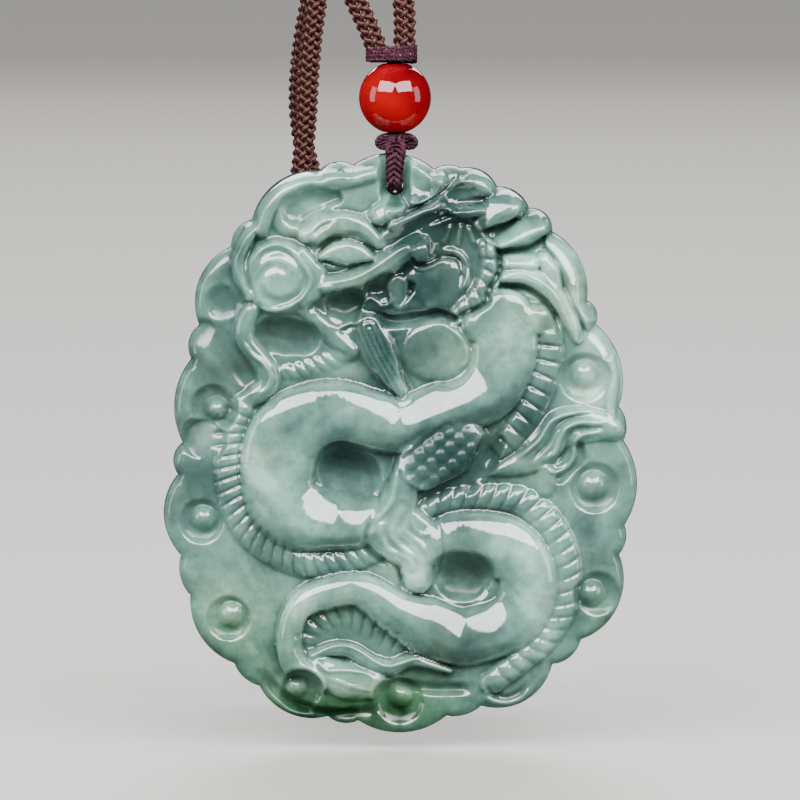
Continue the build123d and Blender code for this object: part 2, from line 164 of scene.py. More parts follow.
Form = namedtuple("Form", "path widths level foot lean fullness tilt", defaults=(0, 2.2, 0))
Hollow = namedtuple("Hollow", "path widths level sharpness edge", defaults=(2, 0.56))
Line = namedtuple("Line", "path width rise")
Ribs = namedtuple("Ribs", "path width count depth slant sharpness bias")
Facet = namedtuple("Facet", "across down level reach rise_across rise_down")
Hair = namedtuple("Hair", "path width strands depth")
Cup = namedtuple("Cup", "across down ring boss lean_across lean_down")
Lobe = namedtuple("Lobe", "across down top_across top_down")
Tint = namedtuple("Tint", "across down reach_across reach_down lean strength")


# The carving's tables, in steps of the sheet from its left and its top
# Scallops of the outline: where each starts and the top of its arc
lobes = [Lobe(*row) for row in (
    (353, 165.5, 395, 153.5), (434, 169.5, 449, 165.5), (461, 168.5, 482, 171),
    (497, 187, 516, 192), (529, 208.5, 546, 214.5), (552, 232, 580, 260),
    (587, 301, 597, 312), (596, 325, 620, 360), (619.5, 408, 627, 424),
    (624.5, 442.5, 638, 484), (625.5, 528, 627.5, 541), (620, 557, 618, 612),
    (582, 643, 573, 659), (553.5, 668, 530, 703), (482, 710.5, 466, 719.5),
    (447, 720.5, 402, 738), (358, 725.5, 342, 728), (327, 721.5, 288, 718.5),
    (258, 690, 242, 681), (233, 667, 203, 645), (189, 598, 178, 574),
    (180, 558, 162.5, 516), (177, 476, 172.5, 460), (182, 444, 173.5, 405),
    (191, 359.5, 188.5, 341), (199, 326, 199, 280), (231, 247, 237, 229.5),
    (252, 220, 274, 185), (320, 170.5, 341, 162),
)]

# Bellies: the ribbed bands beside the coils
left_belly = ((244, 402), (231, 424), (228, 455), (229, 480), (235, 505), (248, 529), (270, 548),
              (300, 562), (330, 563), (356, 557), (380, 548))
right_belly = ((550, 328), (550, 352), (547, 370), (541, 386), (534, 402), (526, 416), (517, 428),
               (507, 441), (496, 454))
lower_belly = ((425, 510), (455, 499), (490, 496), (520, 500), (541, 514), (558, 536), (567, 563),
               (568, 592), (560, 618), (545, 640), (522, 660), (504, 674), (492, 684))
inner_belly = ((303, 646), (314, 626), (345, 617), (378, 632), (404, 652))
shoulder_belly = ((287, 371), (305, 368), (325, 362), (345, 353))
jowl = ((486, 244), (491, 262), (487, 282), (474, 299), (460, 311), (450, 322))

forms = [Form(*row) for row in (
    # Head: its low mass and the roll along the stone's upper edge
    (((292, 216), (330, 206), (380, 196), (432, 192)), (20, 24, 26, 18), .56, .46, 0, 3),
    (((300, 286), (330, 264), (365, 242), (410, 228)), (26, 36, 38, 32), .60, .46, 0, 3),
    (((262, 228), (268, 206), (283, 189), (308, 180), (345, 178), (376, 172)), (8, 10, 11, 10, 9, 7),
     .72, .50),
    (((412, 168), (428, 179), (441, 177)), (5, 6, 5), .68, .50),
    # Ear, the band outside it and the ridge that joins it to the muzzle
    (((257, 222), (247, 238), (240, 256), (241, 272), (250, 294)), (6, 8, 8, 8, 6), .70, .50),
    (((280, 275),), (37,), .78, .54, 0, 2.6),
    (((303, 250), (312, 262), (320, 274), (316, 290), (304, 300)), (5, 7, 8, 7, 6), .74, .60),
    # Brow
    (((309, 231), (325, 225), (345, 223), (362, 228), (378, 240)), (10, 12, 13, 11, 7), .80, .60, 0, 3),
    (((317, 231), (327, 224)), (10, 11), .85, .70, .2, 3, .3),
    (((380, 213), (393, 206)), (11, 13), .86, .60, .35, 2.8, .4),
    (((380, 238), (400, 229), (420, 223)), (8, 9, 8), .70, .56),
    # Muzzle, nose and lips
    (((325, 283), (343, 281), (363, 275), (384, 262), (403, 248), (416, 243)), (9, 11, 12, 13, 13, 12),
     .83, .60, .3, 3, .5),
    (((414, 276), (424, 290), (431, 303)), (12, 14, 11), .62, .34),
    (((418, 276), (446, 282)), (14, 26), .62, .48, 0, 2.2),
    (((421, 247),), (13,), .98, .62),
    # Horns
    (((392, 223), (405, 220), (425, 212), (445, 199), (462, 182)), (5, 7, 8, 7, 4), .86, .62),
    (((447, 206), (456, 209), (468, 210), (482, 209)), (4, 6, 6, 5), .80, .56),
    (((413, 200), (427, 193), (440, 181)), (4, 6, 5), .76, .60),
    # Jaw and jowl
    (((300, 305), (318, 319), (334, 335), (350, 350)), (6, 8, 10, 10), .64, .46),
    (((350, 336), (372, 331), (396, 327)), (13, 12, 8), .56, .34),
    (jowl, (8, 11, 12, 12, 11, 6), .70, .50, 0, 2),
    # Mane at the upper right
    (((462, 190), (475, 183), (488, 186)), (8, 13, 10), .66, .50),
    (((481, 222), (496, 209), (512, 203)), (7, 15, 15), .82, .52, .35, 3, .4),
    (((500, 241), (520, 232), (541, 223)), (7, 13, 13), .80, .52, .5, 3, .8),
    (((508, 261), (530, 262)), (8, 9), .74, .56, .3, 3, .5),
    (((552, 240), (566, 254), (575, 275), (580, 300), (590, 322)), (9, 13, 13, 11, 7), .72, .46,
     .4, 2.6, .6),
    (((543, 258), (551, 270), (556, 284)), (8, 9, 6), .68, .50, .2, 2.6, .3),
    (((478, 324), (510, 321), (540, 318)), (17, 22, 15), .74, .50),
    (((503, 274), (522, 273), (540, 280), (556, 295), (569, 315), (577, 336)), (7, 9, 10, 10, 9, 6),
     .78, .52, .3, 2.6, .4),
    # Bellies and body
    (left_belly, (11, 14, 14, 14, 15, 16, 16, 15, 15, 15, 12), .66, .43, 0, 2.2),
    (right_belly, (13, 14, 14, 15, 15, 15, 15, 13, 8), .66, .46, .2, 2.1),
    (lower_belly, (11, 13, 13, 15, 16, 16, 15, 14, 14, 14, 14, 13), .65, .42, 0, 2.1),
    (inner_belly, (13, 14, 15, 15, 12), .50, .30),
    (shoulder_belly, (9, 11, 12, 12), .57, .40, 0, 2),
    (((503, 318), (505, 350), (488, 387), (440, 410), (400, 424), (372, 419), (333, 414), (290, 432),
      (277, 472), (288, 508), (334, 523), (376, 520)),
     (31, 33, 32, 29, 27, 31, 37, 39, 37, 38, 27, 24),
     (.76, .84, .92, .92, .92, .92, .92, .92, .92, .92, .92, .92), .50,
     (0, -.25, -.3, -.2, -.2, -.1, 0, .1, .15, .25, .35, .3), 3,
     (0, .4, .5, .5, .45, .2, .12, .25, .45, .5, .5, .4)),
    (((425, 545), (463, 537), (514, 553), (529, 585), (514, 620), (467, 637), (428, 627), (394, 611),
      (360, 589), (328, 592), (301, 605), (290, 630), (292, 660), (312, 682)),
     (20, 28, 33, 29, 29, 28, 29, 30, 22, 17, 17, 13, 13, 16), .88, .48,
     (0, -.1, -.1, -.15, -.3, -.35, -.3, -.1, 0, .1, .1, 0, 0, 0), 3,
     (.3, .3, .3, .3, .5, .5, .5, .4, .3, .2, .2, .2, .2, .2)),
    (((320, 668), (345, 680), (372, 684)), (14, 20, 16), .76, .48),
    (((312, 656), (330, 650), (350, 651), (372, 664), (392, 668), (412, 661), (450, 671)),
     (5, 8, 9, 9, 8, 5, 3), .70, .42),
    # Whisker, flame and leg
    (((480, 472), (505, 468), (530, 465), (544, 464)), (3, 8, 9, 5), .60, .46, .5, 3, .6),
    (((484, 470), (520, 462), (544, 444), (564, 426), (596, 424), (614, 428)),
     (4, 11, 18, 20, 19, 12), .66, .44),
    (((545, 472), (545, 488)), (11, 10), .60, .42),
    (((422, 464), (462, 443)), (25, 26), .90, .60, 0, 3.4),
    (((409, 466), (399, 498), (392, 526)), (14, 18, 21), .92, .60),
    (((386, 532), (402, 543), (418, 550)), (20, 22, 20), .84, .56, 0, 2.8),
    (((410, 520), (424, 535), (428, 550)), (16, 17, 13), .84, .56, 0, 2.8),
    (((415, 554), (418, 578)), (18, 15), .84, .50, 0, 2.6),
    # Facets along the stone's edge
    (((594, 334), (606, 352), (613, 375), (611, 398), (611, 415)), (6, 6, 6, 6, 5), .60, .46),
)]

hollows = [Hollow(*row) for row in (
    (((395, 148), (395, 188)), (21, 20), .31, 5, 1),
    (((297, 209), (312, 201), (336, 196)), (17, 15, 8), .38, 3),
    (((417, 178), (424, 188)), (11, 8), .50, 2),
    (((222, 299), (224, 303)), (18, 19), .34, 3, .50),
    (((230, 332), (238, 350), (249, 370), (256, 384)), (28, 30, 24, 18), .38, 2, .56),
    (((272, 332), (290, 334), (304, 337)), (21, 23, 19), .24, 2.6, .62),
    (((336, 305), (345, 306), (354, 303)), (13, 16, 14), .34, 2.4),
    (((370, 313), (394, 319), (422, 316), (440, 312), (454, 317)), (5, 8, 9, 7, 4), .34, 2.2),
    (((375, 290), (394, 285), (408, 288)), (10, 12, 9), .40, 2.4),
    (((388, 241), (410, 230), (432, 220), (446, 213)), (8, 10, 10, 7), .60, 2, .76),
    (((448, 236), (466, 238)), (14, 14), .50, 2),
    (((453, 195), (466, 193)), (8, 8), .50, 2.4),
    (((342, 470), (358, 474)), (29, 29), .24, 2.6, .66),
    (((456, 579), (471, 581)), (27, 27), .30, 2.6, .66),
    (((495, 440), (485, 464), (470, 482)), (8, 9, 8), .46, 2),
    (((325, 252), (365, 253)), (14, 12), .60, 3, .8),
    (((430, 350), (442, 350)), (38, 38), .42, 4, .8),
    (((560, 478), (580, 460), (580, 445)), (7, 8, 6), .38, 2),
)]

# Forms that stand in the hollows: whisker, eye, tooth, pearl and beard
inner_forms = [Form(*row) for row in (
    (((252, 309), (246, 322), (246, 338), (257, 354), (268, 370), (267, 386), (250, 398), (228, 409)),
     (9, 10, 10, 11, 12, 11, 9, 5), .65, .44),
    (((322, 254), (333, 251), (346, 250), (358, 251), (373, 256)), (4, 11, 14, 11, 3), .82, .52, 0, 2.8),
    (((398, 284), (396, 297)), (11, 9), .60, .42),
    (((407, 303), (424, 297)), (7, 13), .56, .40),
    (((432, 350), (440, 350)), (30, 30), .62, .44, 0, 4),
    (((368, 326), (379, 350), (392, 374), (402, 390)), (15, 19, 14, 6), .68, .46, .3, 2.6, .2),
)]

cups = [Cup(*row) for row in (
    (584, 376, 28, 15, 0, -3), (595, 487, 29, 16, -2, -2), (599, 594, 26, 15, -8, 0),
    (213, 406, 26, 12, 4, 2), (201, 521, 26, 14, 3, -3), (228, 619, 26, 15, 4, -4),
    (300, 694, 24, 12, -4, -6), (400, 703, 28, 14, 1, -7),
)]

ribs = [Ribs(*row) for row in (
    (left_belly, 16, 25, .045, (-.2, -.35, -.45, -.7), 8, 0),
    (right_belly, 16, 9, .05, .1, 14, .6),
    (lower_belly, 16, 24, (.03, .05, .05, .04, .03, .03, .03, .035, .04), (.7, .7, .3, -.3, -.6, -.5, 0),
     8, -.5),
    (inner_belly, 14, 10, .05, -.3, 8, -.5), (shoulder_belly, 12, 6, .035, -.6, 8, -.4),
    (jowl, 13, 7, .045, .3, 8, 0),
)]

# Flat facets ground on the stone's edge: each rises away from the edge across and down the sheet
facets = [Facet(*row) for row in (
    (204, 342, .430, 20, .0040, .0050), (205, 440, .400, 19, .0042, .0050),
    (599, 342, .445, 15, -.0040, .0050), (566, 256, .60, 25, -.0044, .0050),
)]

hair = [Hair(*row) for row in (
    (((369, 326), (380, 350), (393, 373), (402, 390)), 18, 7, .03),
    (((402, 506), (392, 528), (404, 548), (412, 566)), 18, 3, .015),
    (((500, 241), (520, 232), (541, 223)), 12, 1, .02),
)]

lines = [Line(*row) for row in (
    # Ear: its outer ridge, the groove inside it and the curl
    (((255, 256), (264, 246), (279, 242), (293, 249), (304, 262), (312, 278), (305, 292), (293, 302),
      (275, 308), (257, 306)), 4, .07),
    (((257, 266), (266, 253), (282, 249), (298, 258), (305, 275), (298, 292), (281, 299), (266, 293),
      (260, 280), (266, 268), (279, 264), (289, 271), (289, 282)), 7, -.05),
    (((254, 228), (244, 242), (237, 257), (237, 266), (244, 284), (250, 297)), 3, .05),
    (((258, 234), (251, 248), (247, 262), (250, 280), (257, 294)), 4, -.06),
    (((304, 309), (311, 304), (318, 312)), 3, .05),
    # Brow, eyelids and horns
    (((300, 229), (306, 217), (320, 210), (345, 209), (362, 211), (374, 204), (386, 197)), 4, -.05),
    (((315, 232), (321, 225), (330, 221)), 4, -.06),
    (((318, 252), (323, 243), (337, 234), (357, 233), (371, 242), (378, 251)), 5, -.08),
    (((320, 258), (332, 266), (348, 268), (362, 264), (374, 257)), 3, .04),
    (((410, 209), (428, 201), (444, 190), (459, 174)), 3, -.09),
    (((389, 204), (387, 213), (393, 220)), 3, .04),
    # Muzzle, nostril and lips
    (((325, 279), (343, 278), (362, 272), (382, 260), (400, 247), (413, 239)), 3, .04),
    (((322, 271), (345, 269), (366, 262), (386, 249), (402, 237), (412, 231)), 5, -.06),
    (((409, 258), (414, 264), (422, 267), (431, 265), (439, 261), (446, 259)), 3, .06),
    (((411, 254), (419, 261), (430, 260), (441, 254)), 3, -.07),
    (((443, 249), (455, 250), (463, 256), (468, 267), (466, 280), (459, 290)), 4, .10),
    (((445, 255), (455, 257), (461, 266), (460, 279)), 3, -.06),
    (((331, 323), (340, 326), (349, 322), (358, 320), (362, 308), (366, 299), (371, 296), (376, 299),
      (381, 304), (388, 303), (393, 298)), 3, .08),
    (((393, 303), (398, 306), (405, 303), (412, 294), (418, 282)), 3, .08),
    (((386, 291), (389, 281), (398, 275), (406, 281), (406, 296)), 4, .06),
    # Fan behind the nose
    (((431, 225), (449, 218), (464, 217), (474, 221), (482, 233), (492, 242), (495, 253)), 4, .09),
    (((451, 223), (443, 243)), 4, .07), (((461, 222), (457, 246)), 4, .07),
    (((468, 225), (474, 243)), 4, .07), (((478, 243), (489, 245), (490, 257)), 3, .05),
    # Mane
    (((497, 246), (499, 262), (498, 272), (491, 283), (487, 292), (487, 300), (475, 307), (463, 312),
      (455, 322)), 5, -.18),
    (((503, 284), (524, 286), (541, 296), (553, 311), (560, 332)), 5, -.14),
    (((505, 271), (520, 270), (535, 276), (550, 287), (563, 304)), 3, .04),
    (((480, 229), (505, 225), (524, 207)), 4, -.10),
    (((500, 251), (530, 246), (550, 230)), 4, -.10),
    # Flame
    (((519, 455), (530, 446), (540, 436), (550, 420), (562, 413), (574, 411)), 4, .08),
    (((545, 458), (555, 450), (560, 436), (566, 426), (580, 420), (601, 421)), 4, .08),
    (((546, 466), (556, 471), (568, 466), (573, 455), (574, 441), (583, 433), (598, 430)), 4, .07),
    (((532, 458), (547, 441), (555, 426), (567, 417), (590, 413)), 4, -.07),
    (((556, 462), (565, 449), (567, 436), (576, 427), (600, 426)), 4, -.07),
    # The beard's edge and the pearl's
    (((384, 327), (390, 342), (395, 360), (400, 388)), 4, .05),
    (((432, 321), (446, 324), (458, 333), (466, 346), (467, 358), (460, 367)), 4, .05),
    # Whisker
    (((243, 338), (252, 352), (264, 362), (271, 374), (269, 385), (261, 392)), 3, .05),
    # Leg and paw
    (((425, 434), (410, 444), (399, 452), (396, 470), (393, 492), (384, 507), (372, 520)), 5, .08),
    (((400, 461), (406, 474), (416, 483), (428, 487)), 3, .05),
    (((384, 536), (389, 546), (400, 552), (409, 556), (412, 561), (411, 569)), 3, .04),
    (((393, 535), (403, 546), (411, 551), (417, 557)), 3, .04),
    (((399, 525), (401, 533), (411, 539)), 3, .03),
    (((404, 526), (413, 535), (420, 541), (427, 549)), 3, .04),
    (((412, 515), (415, 525), (423, 532), (430, 530)), 3, .04),
    (((426, 528), (433, 537)), 3, .03),
    (((432, 512), (440, 530), (443, 552), (438, 572), (434, 588)), 4, -.04),
    (((374, 516), (366, 530), (368, 546), (380, 558), (396, 563), (401, 574), (402, 588)), 5, -.09),
    # Tail and the creases along the lower edge
    (((483, 688), (490, 701), (505, 706), (520, 702), (532, 690)), 5, .06),
    (((487, 686), (494, 695), (506, 699), (518, 695), (526, 687)), 5, -.07),
    (((318, 652), (330, 646), (345, 644), (360, 650), (375, 660), (388, 665), (405, 661), (416, 657),
      (432, 661), (452, 671)), 3, .06),
    (((318, 660), (327, 669), (340, 669), (355, 670), (368, 673), (374, 679)), 3, .05),
    (((330, 677), (350, 685), (372, 690)), 3, .03),
    (((432, 578), (440, 594), (458, 603), (478, 598), (488, 586)), 3, .03),
    (((262, 676), (290, 704), (330, 716), (372, 712)), 9, -.14),
    (((396, 682), (430, 690), (470, 690)), 9, -.12),
)]

# Where the stone is darker and more teal, and where it is milky: partly its own patches, partly painted shade
# in hollows such as the mouth and the coil pits, and painted light where it shines, as at the right edge
tones_and_painted_light = [Tint(*row) for row in (
    (400, 292, 62, 28, -12, .50), (432, 236, 54, 20, -25, .45), (395, 240, 30, 12, -30, .20),
    (290, 332, 40, 20, 0, .10), (350, 472, 38, 28, 0, .40), (460, 585, 36, 26, 0, .22),
    (452, 456, 44, 30, -32, .48), (436, 350, 34, 32, 0, .04), (440, 425, 44, 18, -20, .28),
    (512, 432, 20, 50, 25, .16), (530, 392, 16, 50, 20, .10), (205, 470, 30, 60, 0, .18),
    (240, 365, 30, 40, 0, .22), (332, 432, 26, 24, 0, .26), (282, 418, 26, 16, -40, .20),
    (470, 645, 44, 18, 0, .20), (440, 620, 30, 16, 20, .20), (345, 605, 40, 16, -10, -.02),
    (595, 610, 30, 40, 0, .12), (330, 716, 84, 18, 0, .60), (510, 690, 50, 20, 0, .02),
    (426, 202, 58, 20, -28, .45), (478, 204, 50, 18, -10, .25), (465, 556, 34, 18, 0, .15),
    (262, 470, 26, 50, 0, -.22), (300, 535, 40, 20, 0, .14), (382, 352, 30, 34, 20, .30),
    (500, 328, 38, 28, 0, -.32), (545, 255, 44, 40, -30, -.24), (578, 310, 30, 55, 0, -.24),
    (530, 590, 26, 50, 10, -.26), (596, 378, 34, 54, 0, -.34), (570, 520, 40, 40, 0, -.10),
    (300, 205, 40, 18, 0, -.20), (279, 274, 34, 34, 0, -.10), (345, 250, 40, 16, 0, -.08),
    (225, 560, 30, 60, -30, -.08), (250, 600, 40, 30, 0, -.12),
    (405, 562, 32, 38, 0, -.30), (325, 598, 60, 22, 10, -.18), (528, 280, 34, 20, 40, -.24),
    (292, 238, 36, 22, -20, -.16), (376, 334, 30, 24, 0, .22), (562, 596, 30, 50, 0, -.18),
    (492, 512, 50, 14, -10, .18), (468, 692, 40, 18, 0, .18), (392, 688, 46, 18, 0, -.20),
    (562, 440, 20, 46, 20, -.16), (520, 552, 56, 14, 10, -.14), (348, 470, 36, 26, 0, -.14),
)]

# Where it turns to leaf green
greens = [Tint(*row) for row in (
    (330, 712, 90, 26, 0, .9), (405, 706, 50, 30, 0, .5), (245, 650, 50, 60, -40, .35),
    (600, 620, 30, 40, 0, .25), (228, 619, 26, 26, 0, .3), (320, 615, 50, 26, 0, .2),
)]


# The carving's tools: each works on the levels of spots of the sheet
def turned(spots, middle, lean):
    """How far spots lie along and across a line through a middle that leans by so many degrees."""
    away, lean = spots - middle, radians(lean)
    return away[:, 0] * cos(lean) + away[:, 1] * sin(lean), away[:, 1] * cos(lean) - away[:, 0] * sin(lean)


def smooth_path(points):
    """A smooth curve through the points of a path."""
    points = np.asarray(points, float)
    if len(points) < 3:
        return points
    before = np.vstack([2 * points[0] - points[1], points[:-1]])
    after = np.vstack([points[1:], 2 * points[-1] - points[-2]])
    slope = (after - before) / 2
    share = np.linspace(0, 1, path_steps, endpoint=False)[:, None]
    start, end = points[:-1, None], points[1:, None]
    start_slope, end_slope = slope[:-1, None], slope[1:, None]
    curve = start + share * start_slope
    curve = curve + share**2 * (3 * (end - start) - 2 * start_slope - end_slope)
    curve = curve + share**3 * (2 * (start - end) + start_slope + end_slope)
    return np.vstack([curve.reshape(-1, 2), points[-1]])


def measure(spots, points):
    """Distance of each spot from a path, how far along it lies, and on which side."""
    path = smooth_path(points)
    if len(path) == 1:
        return np.hypot(*(spots - path[0]).T), np.zeros(len(spots)), np.ones(len(spots))
    runs = np.diff(path, axis=0)
    lengths = np.hypot(*runs.T)
    walked = np.cumsum(lengths) - lengths
    found = []
    for some in np.array_split(spots, len(spots) // spots_at_once + 1):
        across = some[:, :1] - path[:-1, 0]
        down = some[:, 1:] - path[:-1, 1]
        part_way = np.clip((across * runs[:, 0] + down * runs[:, 1]) / lengths**2, 0, 1)
        gap = (across - part_way * runs[:, 0])**2 + (down - part_way * runs[:, 1])**2
        nearest = np.argmin(gap, axis=1)
        row = np.arange(len(some))
        share = (walked[nearest] + part_way[row, nearest] * lengths[nearest]) / lengths.sum()
        side = np.sign(runs[nearest, 0] * down[row, nearest] - runs[nearest, 1] * across[row, nearest])
        found.append(np.column_stack([np.sqrt(gap[row, nearest]), share, side]))
    return np.vstack(found).T


def near(spots, path, reach):
    """Which spots lie in the box round a path."""
    path = smooth_path(path)
    return ((spots > path.min(axis=0) - reach) & (spots < path.max(axis=0) + reach)).all(axis=1)


def along(values, share):
    """Values given at even steps of a path, at shares of its length."""
    values = np.atleast_1d(values)
    return np.interp(share, np.linspace(0, 1, len(values)), values)


def softer(one, other, blend):
    """The higher of two levels for a positive blend, the lower for a negative one, with the joint eased."""
    ease = np.clip(1 - np.abs(one - other) / abs(blend), 0, 1)**2 * blend / 4
    return (np.maximum(one, other) if blend > 0 else np.minimum(one, other)) + ease


def raise_form(level, spots, form):
    """Lets a round-backed form stand out of the ground. Its crest may lean to one side."""
    here = near(spots, form.path, max(form.widths) + form_margin)
    away, share, side = measure(spots[here], form.path)
    width = along(form.widths, share)
    lean = along(form.lean, share)
    across = away / width * side
    reach = np.abs(across - lean) / (1 - np.sign(across - lean) * lean)
    dome = np.clip(1 - np.minimum(reach, 1)**form.fullness, 0, 1)**(1 / form.fullness)
    dome *= 1 - along(form.tilt, share) * (np.sqrt(reach**2 + crest_rounding**2) - crest_rounding)
    top = form.foot + (along(form.level, share) - form.foot) * dome - wall_drop * np.maximum(away - width, 0)
    level[here] = softer(level[here], top, form_blend)


def sink_hollow(level, spots, hollow):
    """Cuts a hollow with a rounded floor."""
    here = near(spots, hollow.path, max(hollow.widths) + hollow_margin)
    away, share, _ = measure(spots[here], hollow.path)
    reach = away / along(hollow.widths, share)
    floor = hollow.level + (hollow.edge - hollow.level) * reach**hollow.sharpness
    level[here] = softer(level[here], floor, -form_blend)


def carve_cup(level, spots, cup):
    """Cuts a round cup and leaves a low boss in it."""
    middle = np.array([cup.across, cup.down])
    reach = np.hypot(*(spots - middle).T) / cup.ring
    boss = np.hypot(*(spots - middle - (cup.lean_across, cup.lean_down)).T) / cup.boss
    here = reach < cup_reach
    bowl = softer(level[here], cup_floor + cup_lip * reach[here]**cup_steepness, -form_blend)
    level[here] = softer(bowl, cup_floor + boss_rise * (1 - boss[here]**2), form_blend)


def grind_facet(level, spots, facet):
    """Grinds a flat facet on the stone's edge."""
    across, down = spots[:, 0] - facet.across, spots[:, 1] - facet.down
    plane = facet.level + across * facet.rise_across + down * facet.rise_down
    plane += wall_drop * np.maximum(np.hypot(across, down) - facet.reach, 0)
    level[:] = softer(level, plane, -facet_blend)


def cut_ribs(level, spots, row):
    """Parts a belly into plates by grooves across it."""
    here = near(spots, row.path, row.width)
    away, share, side = measure(spots[here], row.path)
    across = np.minimum(away / row.width, 1)
    phase = row.count * share + along(row.slant, share) * side * across
    groove = np.abs(np.cos(pi * phase))**row.sharpness * (1 - across**3) * (1 + row.bias * side * across)
    level[here] -= along(row.depth, share) * groove


def comb_hair(level, spots, row):
    """Parts a tuft into strands by grooves along it."""
    here = near(spots, row.path, row.width)
    away, _, side = measure(spots[here], row.path)
    across = np.minimum(away / row.width, 1)
    level[here] += row.depth * np.cos(pi * row.strands * side * across) * (1 - across**4)


def draw_line(level, spots, line):
    """A thin ridge or groove that fades at its ends."""
    here = near(spots, line.path, line.width)
    away, share, _ = measure(spots[here], line.path)
    across = np.minimum(away / line.width, 1)
    fade = np.clip(np.minimum(share, 1 - share) * line_fade, 0, 1)
    level[here] += line.rise * (1 - across**2)**2 * (line_end + (1 - line_end) * fade)


def scale_patch(spots):
    """Places of spots along and across the rows of scales, and how far each belongs to the patch."""
    along, across = turned(spots, scale_middle, scale_lean)
    patch = np.clip(scale_spread - scale_fade * (along / scale_reach[0])**2
                    - scale_fade * (across / scale_reach[1])**2, 0, 1)
    return along, across, patch


def add_scales(level, spots):
    """Small round scales in slanting rows over the thigh."""
    along, across, patch = scale_patch(spots)
    row = np.round(across / scale_row)
    offset = (along - row * scale_shift + scale_pitch / 2) % scale_pitch - scale_pitch / 2
    reach = np.hypot(offset, across - row * scale_row) / scale_radius
    level += patch * (scale_rise * np.sqrt(np.clip(1 - reach**2, 0, 1)) - scale_rise / 2)


def arc_of(lobe, following):
    """Points of a lobe's arc, without its end."""
    start = complex(lobe.across, lobe.down)
    top = complex(lobe.top_across, lobe.top_down)
    end = complex(following.across, following.down)
    ratio = (end - start) / (top - start)
    middle = start + (top - start) * (abs(ratio)**2 - ratio) / (ratio.conjugate() - ratio)
    turn = np.angle((end - middle) / (start - middle))
    if turn < 0:
        turn += tau
    spots = middle + (start - middle) * np.exp(1j * turn * np.arange(arc_steps) / arc_steps)
    return np.column_stack([spots.real, spots.imag])


def outline_points():
    """The scalloped outline as a closed row of points."""
    return np.vstack([arc_of(lobe, following) for lobe, following in zip(lobes, lobes[1:] + lobes[:1])])


def carved_level(spots):
    """Level of the carved face at spots of the sheet: 0 is the deepest floor, 1 the full depth."""
    outward = (spots - sheet_middle) / sheet_half
    level = ground_level + ground_bow * (1 - (outward**2).sum(axis=1))
    for form in forms:
        raise_form(level, spots, form)
    for hollow in hollows:
        sink_hollow(level, spots, hollow)
    for form in inner_forms:
        raise_form(level, spots, form)
    for facet in facets:
        grind_facet(level, spots, facet)
    for cup in cups:
        carve_cup(level, spots, cup)
    for row in ribs:
        cut_ribs(level, spots, row)
    for row in hair:
        comb_hair(level, spots, row)
    add_scales(level, spots)
    for line in lines:
        draw_line(level, spots, line)
    ring = outline_points()
    outer = (outward**2).sum(axis=1) > rim_zone
    from_edge, _, _ = measure(spots[outer], np.vstack([ring, ring[:1]]))
    share = (1 - np.clip(1 - from_edge / rim_rounding, 0, 1)**rim_fullness)**(1 / rim_fullness)
    level[outer] = rim_level + (level[outer] - rim_level) * share
    return level


# Materials: small helpers
def colour(hex_code):
    """A linear colour from its sRGB hex code."""
    channels = [int(hex_code[i:i + 2], 16) / 255 for i in (1, 3, 5)]
    return [c / 12.92 if c <= 0.04045 else ((c + 0.055) / 1.055)**2.4 for c in channels] + [1.0]


def node(tree, kind, settings=None, links=None):
    """Adds a node with its settings and its links. The stops of a ramp are places and colours."""
    made = tree.nodes.new(kind)
    for key, value in (settings or {}).items():
        if key == "stops":
            elements = made.color_ramp.elements
            while len(elements) < len(value):
                elements.new(1)
            for element, (place, hex_code) in zip(elements, value):
                element.position = place
                element.color = colour(hex_code)
        elif isinstance(key, int) or key in made.inputs:
            made.inputs[key].default_value = value
        else:
            setattr(made, key, value)
    for key, source in (links or {}).items():
        tree.links.new(source, made.inputs[key])
    return made


def new_material(name):
    """An empty material and its node tree."""
    material = bpy.data.materials.new(name)
    material.use_nodes = True
    material.node_tree.nodes.clear()
    return material, material.node_tree


